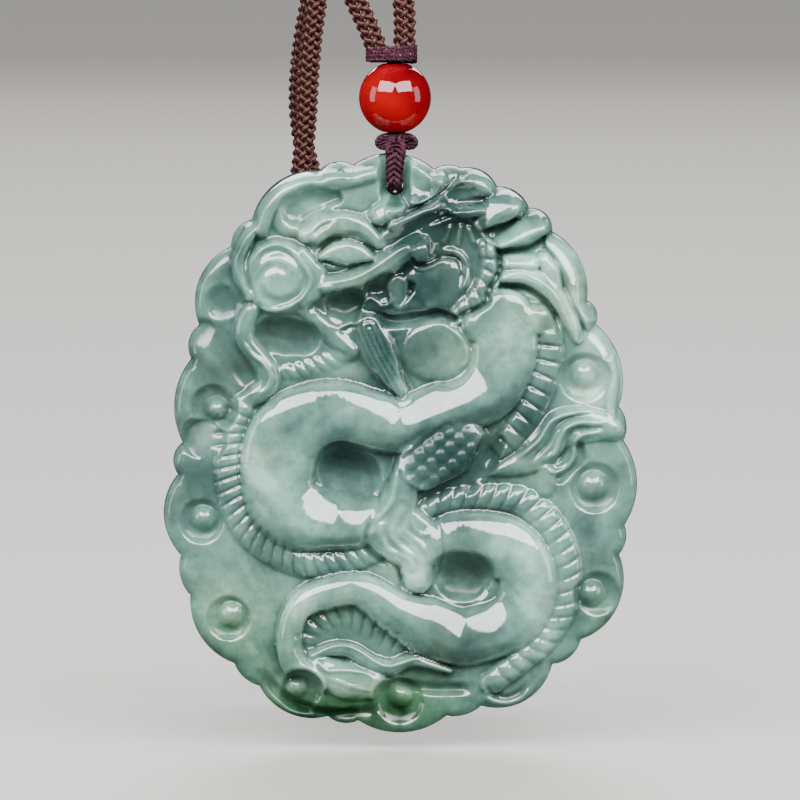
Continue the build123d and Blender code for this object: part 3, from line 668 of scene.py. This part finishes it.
def polished_jadeite():
    """Jadeite, carved and polished to a glassy skin: milky clouds over teal, leaf green at the lower edge,
    with painted shade in its deep places and crevices and painted light on its crests and shining parts.
    The floors of its hollows and its scales keep a duller polish."""
    polished, dull = 0.07, 0.25
    polished_mirror, dull_mirror = 0.5, 0.02
    material, tree = new_material("polished_jadeite")
    place = node(tree, "ShaderNodeTexCoord").outputs["Object"]
    # The tone attribute holds painted shade and painted light as well as the stone's own patches; the green
    # one holds painted shade in crevices too
    depth, leaf, recess = (node(tree, "ShaderNodeAttribute", {"attribute_name": name}).outputs["Fac"]
                           for name in ("tint", "green", "recess"))
    roughness, mirror = (
        node(tree, "ShaderNodeMath", {"operation": "MULTIPLY_ADD", 1: there - elsewhere, 2: elsewhere},
             {0: recess})
        for elsewhere, there in ((polished, dull), (polished_mirror, dull_mirror)))
    # Clouds of 9 mm and flecks of 1.8 mm make the stone darker or lighter
    for size, strength, settings in ((9 * mm, 1.3, {"Detail": 4, "Roughness": 0.5, "Distortion": 0.8}),
                                     (1.8 * mm, 0.7, {"Detail": 8, "Roughness": 0.65})):
        noise = node(tree, "ShaderNodeTexNoise", {"Scale": 1 / size, **settings}, {"Vector": place})
        centred = node(tree, "ShaderNodeMath", {"operation": "MULTIPLY_ADD", 1: strength, 2: -strength / 2},
                       {0: noise.outputs["Fac"]})
        depth = node(tree, "ShaderNodeMath", {"operation": "ADD"},
                     {0: depth, 1: centred.outputs[0]}).outputs[0]
    teal, cream, green = (node(tree, "ShaderNodeValToRGB", {"stops": stops}, {"Fac": depth}).outputs["Color"]
                          for stops in (
        [(0.0, "#739389"), (0.3, "#4E6E64"), (0.62, "#344B46"), (1.0, "#1C2F2D")],
        [(0.0, "#899D8D"), (0.3, "#576D5D"), (0.62, "#394C42"), (1.0, "#1D2E28")],
        [(0.0, "#87A084"), (0.5, "#365A3E"), (1.0, "#0B2010")]))
    # Patches of 6 mm turn from teal to cream
    contrast, start = 3, -1.4
    warmth = node(tree, "ShaderNodeTexNoise", {"Scale": 1 / (6 * mm), "Detail": 3}, {"Vector": place})
    warmth = node(tree, "ShaderNodeMath", {
        "operation": "MULTIPLY_ADD", "use_clamp": True, 1: contrast, 2: start}, {0: warmth.outputs["Fac"]})
    milk = node(tree, "ShaderNodeMix", {"data_type": "RGBA"}, {0: warmth.outputs[0], 6: teal, 7: cream})
    stone = node(tree, "ShaderNodeMix", {"data_type": "RGBA"}, {0: leaf, 6: milk.outputs[2], 7: green})
    shader = node(tree, "ShaderNodeBsdfPrincipled", {
        "IOR": 1.66, "Subsurface Weight": 0.35, "Subsurface Scale": 0.8 * mm,
        "Subsurface Radius": (0.8, 1.0, 0.95)}, {
            "Base Color": stone.outputs[2], "Roughness": roughness.outputs[0],
            "Specular IOR Level": mirror.outputs[0]})
    node(tree, "ShaderNodeOutputMaterial", links={"Surface": shader.outputs[0]})
    return material


def red_agate():
    """Agate, dyed red and polished, its colour brightened low on the bead as painted light for the glow where
    light leaves it.
    """
    # Bands of 5 mm, and over the bead's 7 mm the colour brightens by 0.45 from top to bottom as painted light
    painted_glow_rise = 0.45 / (7 * mm)
    material, tree = new_material("red_agate")
    place = node(tree, "ShaderNodeTexCoord").outputs["Object"]
    band = node(tree, "ShaderNodeTexNoise", {"Scale": 1 / (5 * mm), "Detail": 1}, {"Vector": place})
    height = node(tree, "ShaderNodeSeparateXYZ", links={"Vector": place}).outputs["Z"]
    # Painted light: the red grows brighter towards the bottom of the bead
    clear = node(tree, "ShaderNodeMath", {
        "operation": "MULTIPLY_ADD", 1: -painted_glow_rise, 2: painted_glow_rise * bead_middle.z}, {0: height})
    clear = node(tree, "ShaderNodeMath", {"operation": "ADD"}, {0: band.outputs["Fac"], 1: clear.outputs[0]})
    red = node(tree, "ShaderNodeValToRGB", {
        "stops": [(0.25, "#420005"), (0.5, "#600007"), (0.75, "#7C0307")]}, {"Fac": clear.outputs[0]})
    shader = node(tree, "ShaderNodeBsdfPrincipled", {
        "Roughness": 0.05, "IOR": 1.54, "Specular IOR Level": 0.38, "Subsurface Weight": 0.25,
        "Subsurface Scale": 1.2 * mm, "Subsurface Radius": (1.0, 0.15, 0.08)}, {"Base Color": red.outputs[0]})
    node(tree, "ShaderNodeOutputMaterial", links={"Surface": shader.outputs[0]})
    return material


def twisted_fibres(name, streaks, detail, dye, relief, depth, finish):
    """Fibres of a strand: streaks, so many round it and to a millimetre, in its colour and its relief."""
    material, tree = new_material(name)
    weave = node(tree, "ShaderNodeUVMap", {"uv_map": "UVMap"}).outputs["UV"]
    stretched = node(tree, "ShaderNodeMapping", {"Scale": (*streaks, 1)}, {"Vector": weave})
    fibres = node(tree, "ShaderNodeTexNoise", {"Scale": 1.0, "Detail": detail},
                  {"Vector": stretched.outputs[0]}).outputs["Fac"]
    dyed = node(tree, "ShaderNodeValToRGB", {"stops": dye}, {"Fac": fibres})
    bump = node(tree, "ShaderNodeBump", {"Strength": relief, "Distance": depth}, {"Height": fibres})
    shader = node(tree, "ShaderNodeBsdfPrincipled", finish,
                  {"Base Color": dyed.outputs[0], "Normal": bump.outputs[0]})
    node(tree, "ShaderNodeOutputMaterial", links={"Surface": shader.outputs[0]})
    return material


jadeite = polished_jadeite()
agate = red_agate()

# Braided polyester, dyed dark brown: each strand is a bundle of fine bright fibres
brown_cord = twisted_fibres(
    "silky_brown_cord", (14, 0.6), 3, [(0.3, "#160C0B"), (0.7, "#3D2320")], 0.5, 0.03 * mm,
    {"Roughness": 0.36, "Specular Tint": colour("#E0A79C")})

# Fine plum thread: nearly black, with pink flecks in its colour painted as glints where its fibres turn to
# the light, and a pink tint to its gloss
plum_thread = twisted_fibres(
    "plum_thread", (6, 3), 2, [(0.45, "#070304"), (0.58, "#200E16"), (0.70, "#8E5768")], 0.6, 0.04 * mm,
    {"Roughness": 0.45, "Specular IOR Level": 0.22, "Specular Tint": colour("#E08CB0")})


# Mesh helpers
def new_object(name, bm, material):
    """Turns a bmesh into an object of one material."""
    mesh = bpy.data.meshes.new(name)
    bm.to_mesh(mesh)
    bm.free()
    mesh.materials.append(material)
    made = bpy.data.objects.new(name, mesh)
    bpy.context.collection.objects.link(made)
    return made


def finish_piece(bm, name, material, body, replaced):
    """Turns a bmesh into a smooth piece that rides on its body and stands for a node."""
    piece = new_object(name, bm, material)
    piece.data.shade_smooth()
    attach(piece, body)
    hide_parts(replaced)
    return piece


def curve_points(route):
    """Points of the smooth line that a cord's route gives."""
    curve = bpy.data.curves.new("route", "CURVE")
    curve.dimensions = "3D"
    spline = curve.splines.new("NURBS")
    spline.points.add(len(route) - 1)
    for point, place in zip(spline.points, route):
        point.co = (*(value * mm for value in place), 1)
    spline.order_u = 3
    spline.use_endpoint_u = True
    spline.resolution_u = route_steps
    carrier = bpy.data.objects.new("route", curve)
    mesh = bpy.data.meshes.new_from_object(carrier)
    points = np.array([vertex.co for vertex in mesh.vertices])
    bpy.data.objects.remove(carrier)
    bpy.data.curves.remove(curve)
    bpy.data.meshes.remove(mesh)
    return points


def walk(points):
    """How far along the line each of its points lies."""
    return np.concatenate([[0], np.cumsum(np.linalg.norm(np.diff(points, axis=0), axis=1))])


def even_points(points, step):
    """The same line with points at even steps, and its length."""
    walked = walk(points)
    count = max(int(round(walked[-1] / step)), 2)
    stations = np.linspace(0, walked[-1], count + 1)
    return np.column_stack([np.interp(stations, walked, points[:, i]) for i in range(3)]), walked[-1]


def unit_rows(rows):
    """Directions, each at length 1."""
    return rows / np.linalg.norm(rows, axis=1)[:, None]


def square_to(heading, wide):
    """The directions of wide, turned square to the heading at each point."""
    return unit_rows(wide - heading * (wide * heading).sum(axis=1)[:, None])


def carry_frame(points):
    """Two directions across the line at each point, turned as little as possible."""
    heading = unit_rows(np.gradient(points, axis=0))
    first = np.zeros_like(points)
    guess = np.array([0.0, 1.0, 0.0]) if abs(heading[0][1]) < 0.9 else np.array([1.0, 0.0, 0.0])
    for i, direction in enumerate(heading):
        guess = guess - direction * (guess @ direction)
        guess /= np.linalg.norm(guess)
        first[i] = guess
    return first, np.cross(heading, first)


@cache
def unit_tube(stations, sides):
    """A straight closed tube of radius 1 with a ring of points at each station, made once."""
    bm = bmesh.new()
    bm.loops.layers.uv.new("UVMap")
    verts = bmesh.ops.create_grid(bm, x_segments=sides, y_segments=stations - 1, size=0.5,
                                  calc_uvs=True)["verts"]
    for vertex in verts:
        angle = tau * (vertex.co.x + 0.5)
        vertex.co = (cos(angle), sin(angle), round((vertex.co.y + 0.5) * (stations - 1)))
    bmesh.ops.remove_doubles(bm, verts=verts, dist=tiny)
    bmesh.ops.edgeloop_fill(bm, edges=[edge for edge in bm.edges if edge.is_boundary])
    bmesh.ops.recalc_face_normals(bm, faces=bm.faces)
    mesh = bpy.data.meshes.new("tube")
    bm.to_mesh(mesh)
    bm.free()
    return mesh


def add_tube(bm, points, half_width, half_depth, wide, sides=thread_sides):
    """A closed tube of oval section along points: wide is the direction of its width."""
    mesh = unit_tube(len(points), sides).copy()
    heading = unit_rows(np.gradient(points, axis=0))
    wide = square_to(heading, wide)
    deep = np.cross(heading, wide) * half_depth
    wide = wide * half_width
    unit = np.empty(len(mesh.vertices) * 3)
    mesh.vertices.foreach_get("co", unit)
    unit = unit.reshape(-1, 3)
    station = np.rint(unit[:, 2]).astype(int)
    placed = points[station] + wide[station] * unit[:, :1] + deep[station] * unit[:, 1:2]
    mesh.vertices.foreach_set("co", placed.ravel())
    layer = mesh.uv_layers[0].uv
    uv = np.empty(len(layer) * 2)
    layer.foreach_get("vector", uv)
    uv[1::2] *= walk(points)[-1] / mm
    layer.foreach_set("vector", uv)
    bm.from_mesh(mesh)
    bpy.data.meshes.remove(mesh)


def thread_braid(bm, points, half_width, half_depth, lay, strand, strands=5, wide=(1, 0, 0)):
    """A flat braid of threads: each swings from edge to edge, over and under the others."""
    walked = walk(points)
    heading = unit_rows(np.gradient(points, axis=0))
    wide = square_to(heading, np.array(wide, float))
    deep = np.cross(heading, wide)
    for i in range(strands):
        swing = tau * (walked / lay + i / strands)
        course = (points + wide * ((half_width - strand) * np.sin(swing))[:, None]
                  + deep * ((half_depth - strand) * np.sin(2 * swing))[:, None])
        add_tube(bm, course, strand, strand * thread_flatness, wide)


def wander(random, share, steps):
    """A value that wanders between -1 and 1, with a new aim at each of so many even steps."""
    return np.interp(share * steps, np.arange(steps + 1), random.uniform(-1, 1, steps + 1))


# The stone
def place_on_stone(spots, height):
    """Points in space for spots of the sheet at a height above the stone's flat back."""
    height = np.broadcast_to(height, len(spots))
    return np.column_stack([
        hole.x + (spots[:, 0] - hole_place[0]) * sheet_step,
        stone_back - height,
        hole.z - (spots[:, 1] - hole_place[1]) * sheet_step,
    ])


def fill_outline(flat):
    """Draws the square grid out to the scalloped outline: corners come to lie on its arcs."""
    ring = outline_points() - sheet_middle
    ring_angle = np.arctan2(ring[:, 1], ring[:, 0])
    order = np.argsort(ring_angle)
    side, rise = flat[:, 0], -flat[:, 1]
    round_side = side * np.sqrt(1 - rise**2 / 2)
    round_rise = rise * np.sqrt(1 - side**2 / 2)
    angle = np.arctan2(round_rise, round_side)
    share = np.hypot(round_side, round_rise)
    edge = np.interp(angle, ring_angle[order], np.hypot(*ring.T)[order], period=tau)
    plain = 1 / np.hypot(np.cos(angle) / sheet_half[0], np.sin(angle) / sheet_half[1])
    radius = share * (plain + (edge - plain) * share**scallop_fade)
    return sheet_middle + np.column_stack([radius * np.cos(angle), radius * np.sin(angle)])


def spread(spots, rows):
    """Sum of soft oval patches at each spot."""
    total = np.zeros(len(spots))
    for row in rows:
        along, across = turned(spots, (row.across, row.down), row.lean)
        total += row.strength * np.exp(-((along / row.reach_across)**2 + (across / row.reach_down)**2))
    return total


def in_crevice(level):
    """How far each point of the square grid lies below its surroundings, or above them on a crest: the base
    of painted shade in crevices and painted light on crests.
    """
    own = level.reshape(stone_cells + 1, stone_cells + 1)
    smooth = own
    for _ in range(crevice_passes):
        wide = np.pad(smooth, 1, mode="edge")
        smooth = (wide[:-2, 1:-1] + wide[2:, 1:-1] + wide[1:-1, :-2] + wide[1:-1, 2:] + 4 * smooth) / 8
    return np.clip(smooth - own, crest_highlight_limit, crevice_shade_limit).ravel()


def paint_stone(bm, spots, level):
    """Lays the stone's darkness, its green and its dull polish on its points, with painted shade in deep
    places and crevices and painted light on crests.
    """
    scaly = scale_patch(spots)[2]
    crevice_shade = in_crevice(level) * (1 - scaly)
    # The stone's own tone and patches, with painted shade by depth and in crevices and painted light on
    # crests
    tint = stone_tint + painted_depth_shade * (middle_level - level) + painted_crevice_shade * crevice_shade + spread(spots, tones_and_painted_light)
    recess = np.clip((dull_below - level) / dull_range, 0, 1)
    recess = recess**2 * (3 - 2 * recess) * np.clip(level / polished_floor - 1, 0, 1)
    recess = np.maximum(recess, scale_dullness * scaly)
    # Leaf green, with painted shade that turns the crevices greener
    green = spread(spots, greens) + crevice_shade_green * np.maximum(crevice_shade, 0)
    for name, values in (("tint", tint), ("green", green), ("recess", recess)):
        layer = bm.verts.layers.float.new(name)
        for vertex, value in zip(bm.verts, values):
            vertex[layer] = value


def extend_ring(bm, edges):
    """Extrudes an open ring of edges and returns the new edges and points."""
    made = bmesh.ops.extrude_edge_only(bm, edges=edges)["geom"]
    new_edges = [item for item in made if isinstance(item, bmesh.types.BMEdge) and item.is_boundary]
    new_verts = [item for item in made if isinstance(item, bmesh.types.BMVert)]
    return new_edges, new_verts


def line_hole(bm, mouth):
    """Takes the ring at the hole's front down to the stone's back, its mouth rounded in front and behind."""
    mouth_height = stone_floor + carving_depth * hollows[0].level
    quarter = [radians(turn) for turn in (0, 30, 60, 90)]
    rows = [(mouth_rounding * (1 - sin(turn)), mouth_height - mouth_rounding * (1 - cos(turn)))
            for turn in quarter]
    rows += [(mouth_rounding * (1 - cos(turn)), mouth_rounding * (1 - sin(turn))) for turn in quarter]
    for out, height in rows:
        mouth, verts = extend_ring(bm, mouth)
        for vertex in verts:
            outward = Vector((vertex.co.x - hole.x, 0, vertex.co.z - hole.z)).normalized()
            vertex.co = hole + outward * (hole_radius + out)
            vertex.co.y = stone_back - height
    return mouth


def round_back(bm, rim):
    """Takes the ring at the stone's rim round to its flat back."""
    middle = Vector(place_on_stone(sheet_middle[None, :], 0)[0])
    rim_height = stone_floor + carving_depth * rim_level
    rows = [(back_rounding * (1 - cos(radians(turn))), rim_height * (1 - sin(radians(turn))))
            for turn in (15, 30, 45, 60, 75, 90)]
    rows.append((back_rounding + back_margin, 0))
    moved = 0.0
    for inset, height in rows:
        rim, verts = extend_ring(bm, rim)
        for vertex in verts:
            outward = Vector((vertex.co.x - middle.x, 0, vertex.co.z - middle.z))
            vertex.co -= outward.normalized() * (inset - moved)
            vertex.co.y = stone_back - height
        moved = inset
    return rim


def jade_plaque():
    """The carved stone: a fine grid drawn out to the outline and raised, then a rim, a back and the hole."""
    bm = bmesh.new()
    bmesh.ops.create_grid(bm, x_segments=stone_cells, y_segments=stone_cells, size=1)
    flat = np.array([vertex.co[:2] for vertex in bm.verts])
    spots = fill_outline(flat)
    level = carved_level(spots)
    on_rim = np.abs(flat).max(axis=1) > 1 - tiny
    level[on_rim] = rim_level
    nearest = flat[np.argmin(np.hypot(*(spots - hole_place).T))]
    reach = 2 / stone_cells * hole_cells
    block = [face for face in bm.faces
             if max(abs(face.calc_center_median().x - nearest[0]),
                    abs(face.calc_center_median().y - nearest[1])) < reach]
    paint_stone(bm, spots, level)
    for vertex, place in zip(bm.verts, place_on_stone(spots, stone_floor + carving_depth * level)):
        vertex.co = place
    rim_verts = {vertex for vertex, on in zip(bm.verts, on_rim) if on}
    bmesh.ops.delete(bm, geom=block, context="FACES")
    open_edges = [edge for edge in bm.edges if edge.is_boundary]
    mouth = line_hole(bm, [edge for edge in open_edges if edge.verts[0] not in rim_verts])
    rim = round_back(bm, [edge for edge in open_edges if edge.verts[0] in rim_verts])
    bmesh.ops.triangle_fill(bm, use_beauty=True, use_dissolve=False, edges=rim + mouth)
    bmesh.ops.recalc_face_normals(bm, faces=bm.faces)
    return finish_piece(bm, "carved_jade", jadeite, "pendant", "jade_plaque")


# The bead
def bead():
    """A drilled ball: the half outline with its rounded bore mouths, spun round the bore."""
    bm = bmesh.new()
    radius = (bead_high.x - bead_low.x) / 2
    edge = sqrt((radius - bead_lip)**2 - (bead_bore + bead_lip)**2)
    start = np.arctan2(edge, bead_bore + bead_lip)
    turns = start * (1 - 2 * np.arange(bead_rings + 1) / bead_rings)
    ball = [(radius * cos(turn), radius * sin(turn)) for turn in turns]
    lips = [(bead_bore + bead_lip - bead_lip * cos(turn), edge + bead_lip * sin(turn))
            for turn in (radians(0), radians(30), radians(60))]
    profile = lips + ball + [(across, -up) for across, up in reversed(lips)]
    verts = [bm.verts.new(bead_middle + Vector((across, 0, up))) for across, up in profile]
    edges = [bm.edges.new(pair) for pair in zip(verts, verts[1:] + verts[:1])]
    bmesh.ops.spin(bm, geom=verts + edges, cent=bead_middle, axis=(0, 0, 1), angle=tau, steps=bead_steps,
                   use_merge=True, use_duplicate=False)
    bmesh.ops.recalc_face_normals(bm, faces=bm.faces)
    return finish_piece(bm, "polished_bead", agate, "bead", "red_bead")


# The cord's routes, in millimetres, as the part's source has them
left_route = [
    (0.35, -16, -98.4), (-0.3, -16, -96.6), (-1.9, -15.9, -93.3), (-4.5, -15.7, -87.3), (-6.5, -15.4, -76),
    (-6.9, -15.1, -55), (-5.3, -15.5, -32), (-3.5, -16, -8.2), (-2.5, -6.6, 1.2), (-2.3, 6.6, 1.2),
    (-3.1, 16, -8.2), (-4.3, 16.8, -30), (-3.3, 16, -60), (-4.3, 15.8, -85), (-6.8, 15.6, -98),
    (-7.3, 15.4, -110), (-9.4, 15.4, -122), (-13.9, 15.6, -132.5), (-17.6, 16, -143.5),
    (-18.4, 16.3, -156.5), (-12.9, 16.5, -162), (-5.9, 16.5, -162),
]
right_route = [
    (2.95, -16, -98.4), (3.4, -16, -94.2), (1.2, -15.8, -87.2), (0.3, -15.5, -76), (0.1, -15.2, -55),
    (0.7, -15.5, -32), (1.4, -16, -8.2), (2.4, -6.6, 1.2), (2.3, 6.6, 1.2), (1.0, 16.6, -8.2),
    (-0.3, 19.2, -30), (-2.1, 19.6, -60), (-4.2, 19.4, -85), (-7.8, 19.2, -98), (-8.3, 19, -110),
    (-2.9, 19, -122), (7.5, 18.4, -133), (15.8, 17.6, -143.5), (16.6, 17, -156.5),
    (11.1, 16.5, -162), (4.1, 16.5, -162),
]


def braided_cord(name, route):
    """Half of the cord: eight strands, four each way round, each over one and under the next."""
    line = curve_points(route)
    points, length = even_points(line, strand_step)
    first, second = carry_frame(points)
    lays = round(length / braid_lay)
    turn = tau * lays * np.linspace(0, length, len(points)) / length
    bm = bmesh.new()
    for way in (1, -1):
        radius = braid_radius + way * braid_wave * np.cos(braid_strands * turn)
        swing = turn - way * braid_lean / braid_strands * np.sin(braid_strands * turn)
        for strand in range(braid_strands):
            angle = way * swing + strand * tau / braid_strands
            outward = first * np.cos(angle)[:, None] + second * np.sin(angle)[:, None]
            course = points + outward * radius[:, None]
            add_tube(bm, course, strand_half_width, strand_half_depth,
                     np.cross(outward, np.gradient(course, axis=0)), strand_sides)
    piece = finish_piece(bm, name, brown_cord, "necklace", "necklace_" + name)
    return piece


# The knots and wraps
def end_knot():
    """The cord wound round itself behind the stone, to the barrel's end and back over the first layer."""
    turns, points_a_turn = 8, 40
    along_drift, out_drift = 0.05 * mm, 0.04
    bm = bmesh.new()
    random = np.random.default_rng(3)
    half_length, half_ahead, half_up = ((high - low) / 2 for low, high in zip(back_knot_low, back_knot_high))
    share = np.linspace(0, 1, turns * points_a_turn)
    for layer, inset in enumerate((wrap_sink, 0)):
        angle = tau * turns * share + layer * pi
        drift = along_drift * wander(random, share, turns)
        out = 1 + out_drift * wander(random, share, turns)
        points = np.array((back_knot_low + back_knot_high) / 2) + np.column_stack([
            (share * 2 - 1) * (half_length - wrap_cord / 2) + drift * np.sin(angle + layer),
            (half_ahead - wrap_cord / 2 - inset) * out * np.cos(angle),
            (half_up - wrap_cord / 2 - inset) * out * np.sin(angle),
        ])
        add_tube(bm, points, wrap_half_width, wrap_half_depth, np.array([1.0, 0, 0]), wrap_sides)
    return finish_piece(bm, "cord_end_knot", brown_cord, "necklace", "back_knot")


def whipping():
    """The wrap over the bead: flat braid, three turns round both strands of the cord over a first layer."""
    lay, half_depth, drift, points_a_turn = 1.1 * mm, 0.2 * mm, 0.08 * mm, 90
    bm = bmesh.new()
    sag = Vector((0, 0, 0.3 * mm))
    middle = (wrap_low + wrap_high - sag) / 2
    across, ahead, up = (wrap_high - wrap_low + sag) / 2
    random = np.random.default_rng(5)
    for inset, turns, half_width, strand in ((0.55 * mm, 4, 0.30 * mm, 0.2 * mm),
                                             (0.22 * mm, 3, 0.40 * mm, 0.15 * mm)):
        share = np.linspace(0, 1, turns * points_a_turn)
        angle = tau * turns * share
        points = np.column_stack([
            middle.x + (across - inset) * np.cos(angle),
            middle.y + (ahead - inset) * np.sin(angle),
            middle.z + (share * 2 - 1) * (up - half_width) + drift * wander(random, share, turns * 3),
        ])
        thread_braid(bm, points, half_width, half_depth, lay, strand, 4, (0, 0, 1))
    return finish_piece(bm, "whipped_thread", plum_thread, "necklace", "top_wrap")


def hanging_thread():
    """The thread that holds the stone: down in front, through the hole and up behind."""
    # In millimetres: its reach before and behind the hole, half its width and depth, and where it gathers
    front_reach, back_reach, hole_gap = 2.77, 2.98, 0.02
    width_at_top, narrowing, width_in_hole = 1.12, 0.37, 0.72
    depth_outside, depth_in_hole = 0.45, 0.62
    hole_length, hole_height = 2.3, 0.7
    bm = bmesh.new()
    middle, deep, low = (value / mm for value in hole)
    front, back = deep - front_reach, deep + back_reach
    waist, bottom = knot_height / mm, low - hole_gap
    route = [
        (middle, deep - 0.9, waist + 0.1), (middle + 0.1, front + 0.1, waist - 0.5),
        (middle, front, waist - 1.8), (middle - 0.1, front, bottom + 1.2),
        (middle - 0.05, front + 0.05, bottom + 0.3), (middle, front + 0.9, bottom - 0.05),
        (middle, deep, bottom), (middle, back - 0.9, bottom - 0.05), (middle, back, bottom + 0.5),
        (middle, back, waist - 1.5), (middle, back - 0.1, waist - 0.4), (middle, deep + 0.9, waist + 0.1),
    ]
    points, _ = even_points(curve_points(route), thread_step)
    inside = np.clip(1 - np.abs(points[:, 1] - hole.y) / (hole_length * mm), 0, 1)
    inside = np.where(points[:, 2] < hole.z + hole_height * mm, np.minimum(inside * thread_gathering, 1), 0)
    drop = np.clip((knot_height - points[:, 2]) / (knot_height - hole.z), 0, 1)
    half_width = (width_at_top - narrowing * drop) * mm * (1 - inside) + width_in_hole * mm * inside
    half_depth = depth_outside * mm * (1 - inside) + depth_in_hole * mm * inside
    thread_braid(bm, points, half_width, half_depth, thread_lay, thread_radius, 6)
    return finish_piece(bm, "hanging_thread", plum_thread, "necklace", "hanging_loop")


def small_knot():
    """The knot under the bead: soft loops of braid on each side, two bands over the middle, and the stem."""
    # Braids: half width, half depth, lay, radius of a strand and strands. The other sizes are in mm
    braid = (0.46 * mm, 0.30 * mm, 1.3 * mm, knot_strand, 4)
    stem = (0.8 * mm, 0.55 * mm, 2.8 * mm, thread_radius)
    loop_out, loop_height, loop_twist, loop_lean = 1.12, 0.72, 0.2, 0.10
    band_reach, band_height, band_rise, band_bow = 1.75, 0.62, 0.10, 0.12
    bm = bmesh.new()
    middle = np.array([hole.x + 0.15 * mm, hole.y, knot_height])
    angle = np.linspace(0, tau, 70)
    for side in (-1, 1):
        for depth, reach in ((-1.25, 0.86), (-0.45, 1.0), (0.45, 1.0), (1.25, 0.86)):
            for ring in (0.80, 0.38):
                swing = np.column_stack([
                    side * loop_out + reach * ring * np.cos(angle),
                    depth + loop_twist * np.sin(2 * angle + ring),
                    loop_height * reach * ring * np.sin(angle) - loop_lean * side * np.cos(angle),
                ])
                thread_braid(bm, middle + swing * mm, *braid, (0, 1, 0))
    angle = np.linspace(-0.2, tau - 0.3, 90)
    for place in (-0.42, 0.42):
        swing = np.column_stack([
            place + band_bow * np.sin(angle + place),
            -band_reach * np.cos(angle),
            band_height * np.sin(angle) + band_rise,
        ])
        thread_braid(bm, middle + swing * mm, *braid)
    course = np.linspace((hole.x, hole.y, knot_height + 0.1 * mm), (hole.x, hole.y, stem_top), 80)
    thread_braid(bm, course, *stem)
    return finish_piece(bm, "thread_knot", plum_thread, "necklace", "loop_knot")


barrel = end_knot()
braided_cord("cord_left", left_route)
braided_cord("cord_right", right_route)
whipping()
small_knot()
hanging_thread()
jade_plaque()
bead()


# Stage: a pale floor that the stone doesn't mirror, and a backdrop all round that only the camera sees
def stage_object(name, bm, material, unseen_by):
    """A thing of the studio, left out of some kinds of rays."""
    made = new_object(name, bm, material)
    for rays in unseen_by:
        setattr(made, "visible_" + rays, False)


floor_half = 8
floor_gap = 1.5 * mm
backdrop_reach = 6
paper = colour("#ABA9A5")
floor_material, tree = new_material("pale_floor")
shader = node(tree, "ShaderNodeBsdfPrincipled", {
    "Base Color": colour("#777573"), "Roughness": 0.6, "Emission Color": paper, "Emission Strength": 0.86})
node(tree, "ShaderNodeOutputMaterial", links={"Surface": shader.outputs[0]})
bm = bmesh.new()
bmesh.ops.create_grid(bm, x_segments=1, y_segments=1, size=floor_half)
bmesh.ops.translate(bm, verts=bm.verts, vec=(0, 0, stone_low.z - floor_gap))
stage_object("floor", bm, floor_material, ["glossy"])

backdrop_material, tree = new_material("lit_paper")
shader = node(tree, "ShaderNodeEmission", {"Color": paper, "Strength": 0.93})
node(tree, "ShaderNodeOutputMaterial", links={"Surface": shader.outputs[0]})
bm = bmesh.new()
bmesh.ops.create_uvsphere(bm, u_segments=48, v_segments=24, radius=backdrop_reach)
bmesh.ops.reverse_faces(bm, faces=bm.faces)
stage_object("backdrop", bm, backdrop_material, ["diffuse", "glossy", "transmission", "shadow"])

world = bpy.data.worlds.new("studio")
bpy.context.scene.world = world
world.use_nodes = True
room_light = world.node_tree.nodes["Background"]
room_light.inputs["Color"].default_value = colour("#8E9294")
room_light.inputs["Strength"].default_value = 0.12


# Lights: two softboxes high in front, a narrow strip at each side and a weak fill for the back
def way_to(azimuth, elevation):
    """Direction from the stone to a place, in degrees from straight in front and above the level."""
    azimuth, elevation = radians(azimuth), radians(elevation)
    return Vector((sin(azimuth) * cos(elevation), -cos(azimuth) * cos(elevation), sin(elevation)))


aim_height = 4 * mm
target = Vector(place_on_stone(aim_place[None, :], aim_height)[0])
Softbox = namedtuple("Softbox", "name azimuth elevation distance width height power")
softboxes = [Softbox(*row) for row in (
    ("left_softbox", -35, 40, 0.6, 0.54, 0.34, 12.6),
    ("right_softbox", 35, 40, 0.6, 0.54, 0.34, 12.6),
    ("left_strip", -78, 12, 0.6, 0.22, 0.40, 1.4),
    ("right_strip", 78, 12, 0.6, 0.22, 0.40, 1.4),
    ("back_fill", 180, 35, 1.2, 1.0, 0.8, 18),
)]
for box in softboxes:
    light = bpy.data.lights.new(box.name, "AREA")
    light.shape = "RECTANGLE"
    light.size, light.size_y = box.width, box.height
    light.energy = box.power
    lamp = bpy.data.objects.new(box.name, light)
    way = way_to(box.azimuth, box.elevation)
    lamp.location = target + way * box.distance
    lamp.rotation_euler = way.to_track_quat("Z", "Y").to_euler()
    bpy.context.collection.objects.link(lamp)

# Camera: in front and a little above, far off with a long lens
camera_rise = 6
camera_distance = 0.6
picture_width = 80 * mm
sensor_width = 36
camera_data = bpy.data.cameras.new("camera")
camera_data.sensor_width = sensor_width
camera_data.lens = sensor_width * camera_distance / picture_width
camera = bpy.data.objects.new("camera", camera_data)
bpy.context.collection.objects.link(camera)
bpy.context.scene.camera = camera
away = way_to(0, camera_rise)
camera.location = target + away * camera_distance
camera.rotation_euler = away.to_track_quat("Z", "Y").to_euler()
